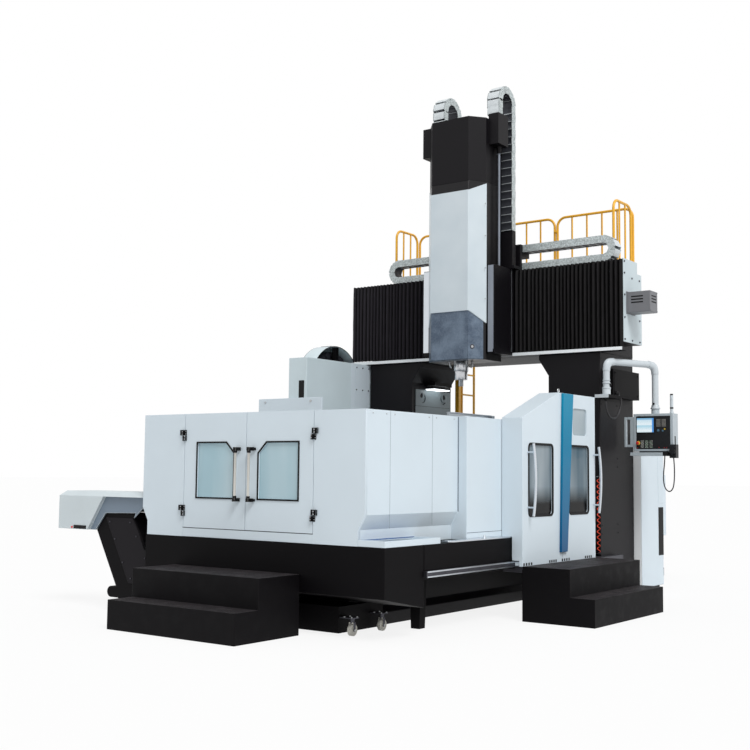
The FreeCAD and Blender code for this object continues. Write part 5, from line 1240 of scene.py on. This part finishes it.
def arm_bend(index, reach, steps=6):
    """The places of an elbow, from a reach before the corner to a reach after it."""
    here = Vector(arm_outline[index])
    before = here + (Vector(arm_outline[index - 1]) - here).normalized() * reach
    after = here + (Vector(arm_outline[index + 1]) - here).normalized() * reach
    shares = [step / steps for step in range(steps + 1)]
    path = [before * (1 - t) ** 2 + here * 2 * t * (1 - t) + after * t**2 for t in shares]
    return [ARM_FOOT + along_arm * spot.x + UPWARDS * spot.y for spot in path]


def ring_section(radius, sides=16):
    """A round section with slightly flattened sides, as extruded tube has."""
    angles = [2 * math.pi * step / sides for step in range(sides)]
    return [(radius * math.cos(angle), radius * math.sin(angle) * 0.92) for angle in angles]


tube = bmesh.new()
path = [ARM_FOOT + UPWARDS * ARM_LOW] + arm_bend(1, 0.075) + arm_bend(2, 0.075)
path.append(ARM_FOOT + ARM_REACH + UPWARDS * ARM_END)
add_swept(tube, path, ring_section(ARM_RADIUS), arm_facing)
piece("arm_tube", tube, [arm_paint], "pendant_arm", ("pendant_arm",))
castings = bmesh.new()
for index in (1, 2):
    add_swept(castings, arm_bend(index, 0.115), ring_section(0.0455), arm_facing)
for low, high, radius in ((2.4965, 2.52, 0.05), (2.56, 2.575, 0.047), (2.596, 2.606, 0.047)):
    tall = high - low
    profile = [(0, radius - 0.003), (0.003, radius), (tall - 0.003, radius), (tall, radius - 0.003)]
    add_turned(castings, ARM_FOOT + UPWARDS * low, UPWARDS, profile, 24)
foot = ARM_FOOT + ARM_REACH
profile = [(0, 0.058), (0.012, 0.058), (0.016, 0.05), (0.045, 0.046), (0.05, 0.043)]
add_turned(castings, foot + UPWARDS * ARM_END, UPWARDS, profile, 24)
piece("arm_castings", castings, [arm_paint], "pendant_arm", edge=0.0015)
turnings("arm_clamp_knobs", gasket_rubber, "pendant_arm", 0.0, [
    (
        foot + Vector((0.0, -0.04, 2.352)), (0, -1, 0),
        [(0, 0.006), (0.008, 0.006), (0.009, 0.013), (0.02, 0.013), (0.022, 0.01)], 12,
    ),
    (
        ARM_FOOT + Vector((0.04, 0, 2.548)), (1, 0, 0),
        [(0, 0.005), (0.008, 0.005), (0.009, 0.011), (0.02, 0.011)], 12,
    ),
])


# Pendant: a black control panel between silver posts, with a screen, key blocks, a stop button and
# a hand-wheel bracket below.
FRONT = 0.0745
silver = coated("silver_frame", tone(168, 178, 184), 0.32, 0.08, 0.0002, 0.0)
panel_black = coated("panel_black", tone(16, 15, 19), 0.4, 0.1, 0.0003, 0.0, 0.35)
softened(
    "pendant",
    0.003,
    panel_black,
    (silver, (1.75, 0.06, 1.8), (1.8785, 0.11, 2.25)),
    (silver, (1.89, -0.08, 1.72), (2.345, 0.23, 1.7655)),
    (silver, (2.06, 0.08, 2.2305), (2.18, 0.22, 2.31)),
)
blocks("pendant_frame", silver, "pendant", 0.003, [
    ((1.875, 0.0705, 1.783), (1.908, 0.229, 2.232)),
    ((2.338, 0.0705, 1.783), (2.373, 0.229, 2.232)),
    ((1.908, 0.0715, 2.203), (2.338, 0.228, 2.233)),
    ((1.908, 0.0715, 1.782), (2.338, 0.228, 1.806)),
    ((1.757, 0.068, 1.832), (1.784, 0.102, 2.196)),
    ((1.784, 0.074, 1.832), (1.875, 0.096, 1.862)),
    ((1.784, 0.074, 2.166), (1.875, 0.096, 2.196)),
    ((1.83, 0.074, 1.862), (1.875, 0.096, 2.166)),
])
blocks("pendant_caps", gasket_rubber, "pendant", 0.001, [
    ((2.3725, 0.12, 1.86), (2.3755, 0.15, 1.96)),
    ((2.3, -0.0755, 1.7235), (2.3395, 0.06, 1.7665)),
])
bezel = bmesh.new()
path = [(x, FRONT, z) for x, z in ((1.916, 2.008), (2.133, 2.008), (2.133, 2.181), (1.916, 2.181))]
rim = [(-0.001, -0.002), (-0.001, 0.003), (0.008, 0.004), (0.011, 0.001), (0.011, -0.002)]
add_swept(bezel, path, rim, (0, -1, 0), True)
piece("screen_bezel", bezel, [gasket_rubber], "pendant")
screen_finish, place = new_finish("screen_glow")
screen_height = place.part("Z")
screen_across = place.part("X")
bands = place.node(
    "ShaderNodeValToRGB",
    {
        "stops": [
            (0.0, tone(214, 232, 240)), (0.1, tone(238, 246, 250)), (0.46, tone(168, 214, 232)),
            (0.54, tone(232, 244, 250)), (0.86, tone(206, 230, 242)), (0.94, tone(120, 176, 214)),
        ]
    },
    {0: screen_height.ramped(2.012, 2.177)},
)
rows = screen_height * 380.0
rows = rows.arithmetic("FRACT", rows, 0.0).ramped(0.75, 0.8)
side_menu = screen_across.ramped(2.108, 2.11)
picture = side_menu.mixed(bands, tone(70, 140, 214))
picture = (rows * (1 - side_menu) * 0.35).mixed(picture, tone(96, 120, 140))
surface(place, tone(40, 46, 50), 0.15, None, Emission_Color=picture, Emission_Strength=0.95)
blocks("screen_pane", screen_finish, "pendant", 0.0, [
    ((1.9165, FRONT - 0.0012, 2.0085), (2.1325, FRONT + 0.001, 2.1805)),
])
key_grey = coated("key_grey", tone(118, 116, 112), 0.45, 0.06, 0.0002, 0.0)
key_pale = coated("key_pale", tone(170, 174, 168), 0.45, 0.06, 0.0002, 0.0)
key_green = coated("key_green", tone(96, 132, 104), 0.45, 0.06, 0.0002, 0.0)
keys = bmesh.new()
KEY_BLOCKS = [
    (2.166, 2.076, 4, (0,)),
    (2.232, 2.076, 4, (0,)),
    (1.966, 1.822, 3, (0, 1)),
    (2.022, 1.822, 3, (1, 2)),
    (2.078, 1.822, 3, (0, 1, 2)),
]
for left_edge, low_edge, columns, finishes in KEY_BLOCKS:
    for column in range(columns):
        for row in range(6):
            x = left_edge + column * 0.0135
            z = low_edge + row * 0.0155
            index = finishes[(column + row) % len(finishes)]
            add_block(keys, (x, FRONT - 0.003, z), (x + 0.0105, FRONT + 0.0005, z + 0.0115), index)
piece("pendant_keys", keys, [key_grey, key_pale, key_green], "pendant", edge=0.0008)
stop_ring = bmesh.new()
add_turned(
    stop_ring, (1.932, FRONT + 0.001, 1.88), (0, -1, 0),
    [(0, 0.025), (0.004, 0.025), (0.006, 0.021), (0.006, 0.012)], 24,
)
add_turned(
    stop_ring, (2.268, FRONT + 0.001, 2.046), (0, -1, 0), [(0, 0.009), (0.006, 0.008), (0.009, 0.006)],
    12,
)
stop_yellow = coated("stop_yellow", tone(226, 190, 40), 0.4, 0.05, 0.0002, 0.0)
piece("stop_button_ring", stop_ring, [stop_yellow], "pendant")
stop_cap = bmesh.new()
add_turned(
    stop_cap, (1.932, FRONT - 0.004, 1.88), (0, -1, 0),
    [(0, 0.01), (0.008, 0.01), (0.01, 0.019), (0.018, 0.02), (0.024, 0.015), (0.026, 0.008)], 24,
)
for spot_x, spot_z in ((2.196, 1.826), (2.262, 1.822), (2.29, 1.822), (1.925, 1.822)):
    add_turned(
        stop_cap, (spot_x, FRONT + 0.001, spot_z), (0, -1, 0),
        [(0, 0.005), (0.004, 0.005), (0.005, 0.003)], 10,
    )
stop_red = coated("stop_red", tone(196, 40, 34), 0.35, 0.05, 0.0002, 0.0)
piece("stop_button", stop_cap, [stop_red], "pendant")
selectors = bmesh.new()
for spot_x, spot_z, radius in ((2.188, 2.03, 0.016), (2.244, 2.026, 0.012)):
    add_turned(
        selectors, (spot_x, FRONT + 0.001, spot_z), (0, -1, 0),
        [(0, radius), (0.004, radius), (0.005, radius * 0.7), (0.014, radius * 0.6)], 18,
    )
selector_blue = coated("selector_blue", tone(74, 108, 132), 0.4, 0.05, 0.0002, 0.0)
piece("selector_knobs", selectors, [selector_blue], "pendant")
turnings("signal_lamp", arm_paint, "pendant", 0.0, [
    (
        (2.329, 0.15, 2.2325), (0, 0, 1),
        [(0, 0.024), (0.01, 0.024), (0.03, 0.019), (0.034, 0.0185), (0.06, 0.0185)], 24,
    ),
    (
        (2.329, 0.15, 2.3065), (0, 0, 1),
        [
            (0, 0.0195), (0.07, 0.0195), (0.073, 0.0188), (0.076, 0.0195), (0.14, 0.0195),
            (0.152, 0.016), (0.16, 0.0105),
        ],
        24,
    ),
])
turnings("signal_lamp_collar", gasket_rubber, "pendant", 0.0, [
    ((2.329, 0.15, 2.29), (0, 0, 1), [(0, 0.02), (0.004, 0.0208), (0.013, 0.0208), (0.017, 0.02)], 24),
])


# Chip conveyor: a black inclined chute that comes out of the left side, with a white hood over its
# head on two grey cheeks.
chute_black = coated("chute_black", tone(20, 17, 22), 0.5, 0.2, 0.0006, 0.01, 0.15)
hood_paint = coated("hood_paint", tone(194, 204, 208), 0.42, 0.04, 0.0004, 0.04)
cheek_paint = coated("cheek_paint", tone(108, 122, 136), 0.45, 0.06, 0.0004, 0.03)
softened("chip_conveyor", 0.004, black_sheet)
softened(
    "conveyor_hood",
    0.003,
    hood_paint,
    (cheek_paint, (-2.42, -4.7115, 0.8), (-1.4, -4.689, 1.2045)),
    (cheek_paint, (-2.42, -4.271, 0.8), (-1.4, -4.2485, 1.2045)),
)
chute_lid = bmesh.new()
outline = [
    (-2.085, 0.985), (-1.665, 0.985), (-1.56, 0.83), (-1.48, 0.67),
    (-1.392, 0.64), (-1.392, 0.31), (-1.705, 0.31),
]
for near, far in ((-4.6975, -4.6895), (-4.2705, -4.2625)):
    add_formed(chute_lid, ORIGIN, TO_RIGHT, UPWARDS, TO_BACK, outline, near, far)
piece("chute_side_lids", chute_lid, [chute_black], "machine", edge=0.003)
chute_bolts = bmesh.new()
LID_SCREWS = [
    (-2.02, 0.94), (-1.7, 0.94), (-1.6, 0.8), (-1.93, 0.76),
    (-1.8, 0.52), (-1.46, 0.58), (-1.42, 0.36), (-1.67, 0.36),
]
for spot_x, spot_z in LID_SCREWS:
    add_screw(chute_bolts, (spot_x, -4.6975, spot_z), (0, -1, 0), 0.008)
for place_y in (-4.62, -4.48, -4.34):
    add_screw(chute_bolts, (-2.04, place_y, 0.205), (-1, 0, 0), 0.01)
piece("chute_screws", chute_bolts, [dark_steel], "machine")
blocks("hood_terminal", gasket_rubber, "machine", 0.001, [
    ((-2.545, -4.7565, 0.851), (-2.343, -4.7495, 0.888)),
    ((-2.5, -4.7585, 0.858), (-2.44, -4.756, 0.88)),
])
turnings("hood_button", stop_red, "machine", 0.0, [
    ((-2.575, -4.7505, 0.864), (0, -1, 0), [(0, 0.012), (0.006, 0.012), (0.01, 0.009)], 12),
])


low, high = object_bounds()
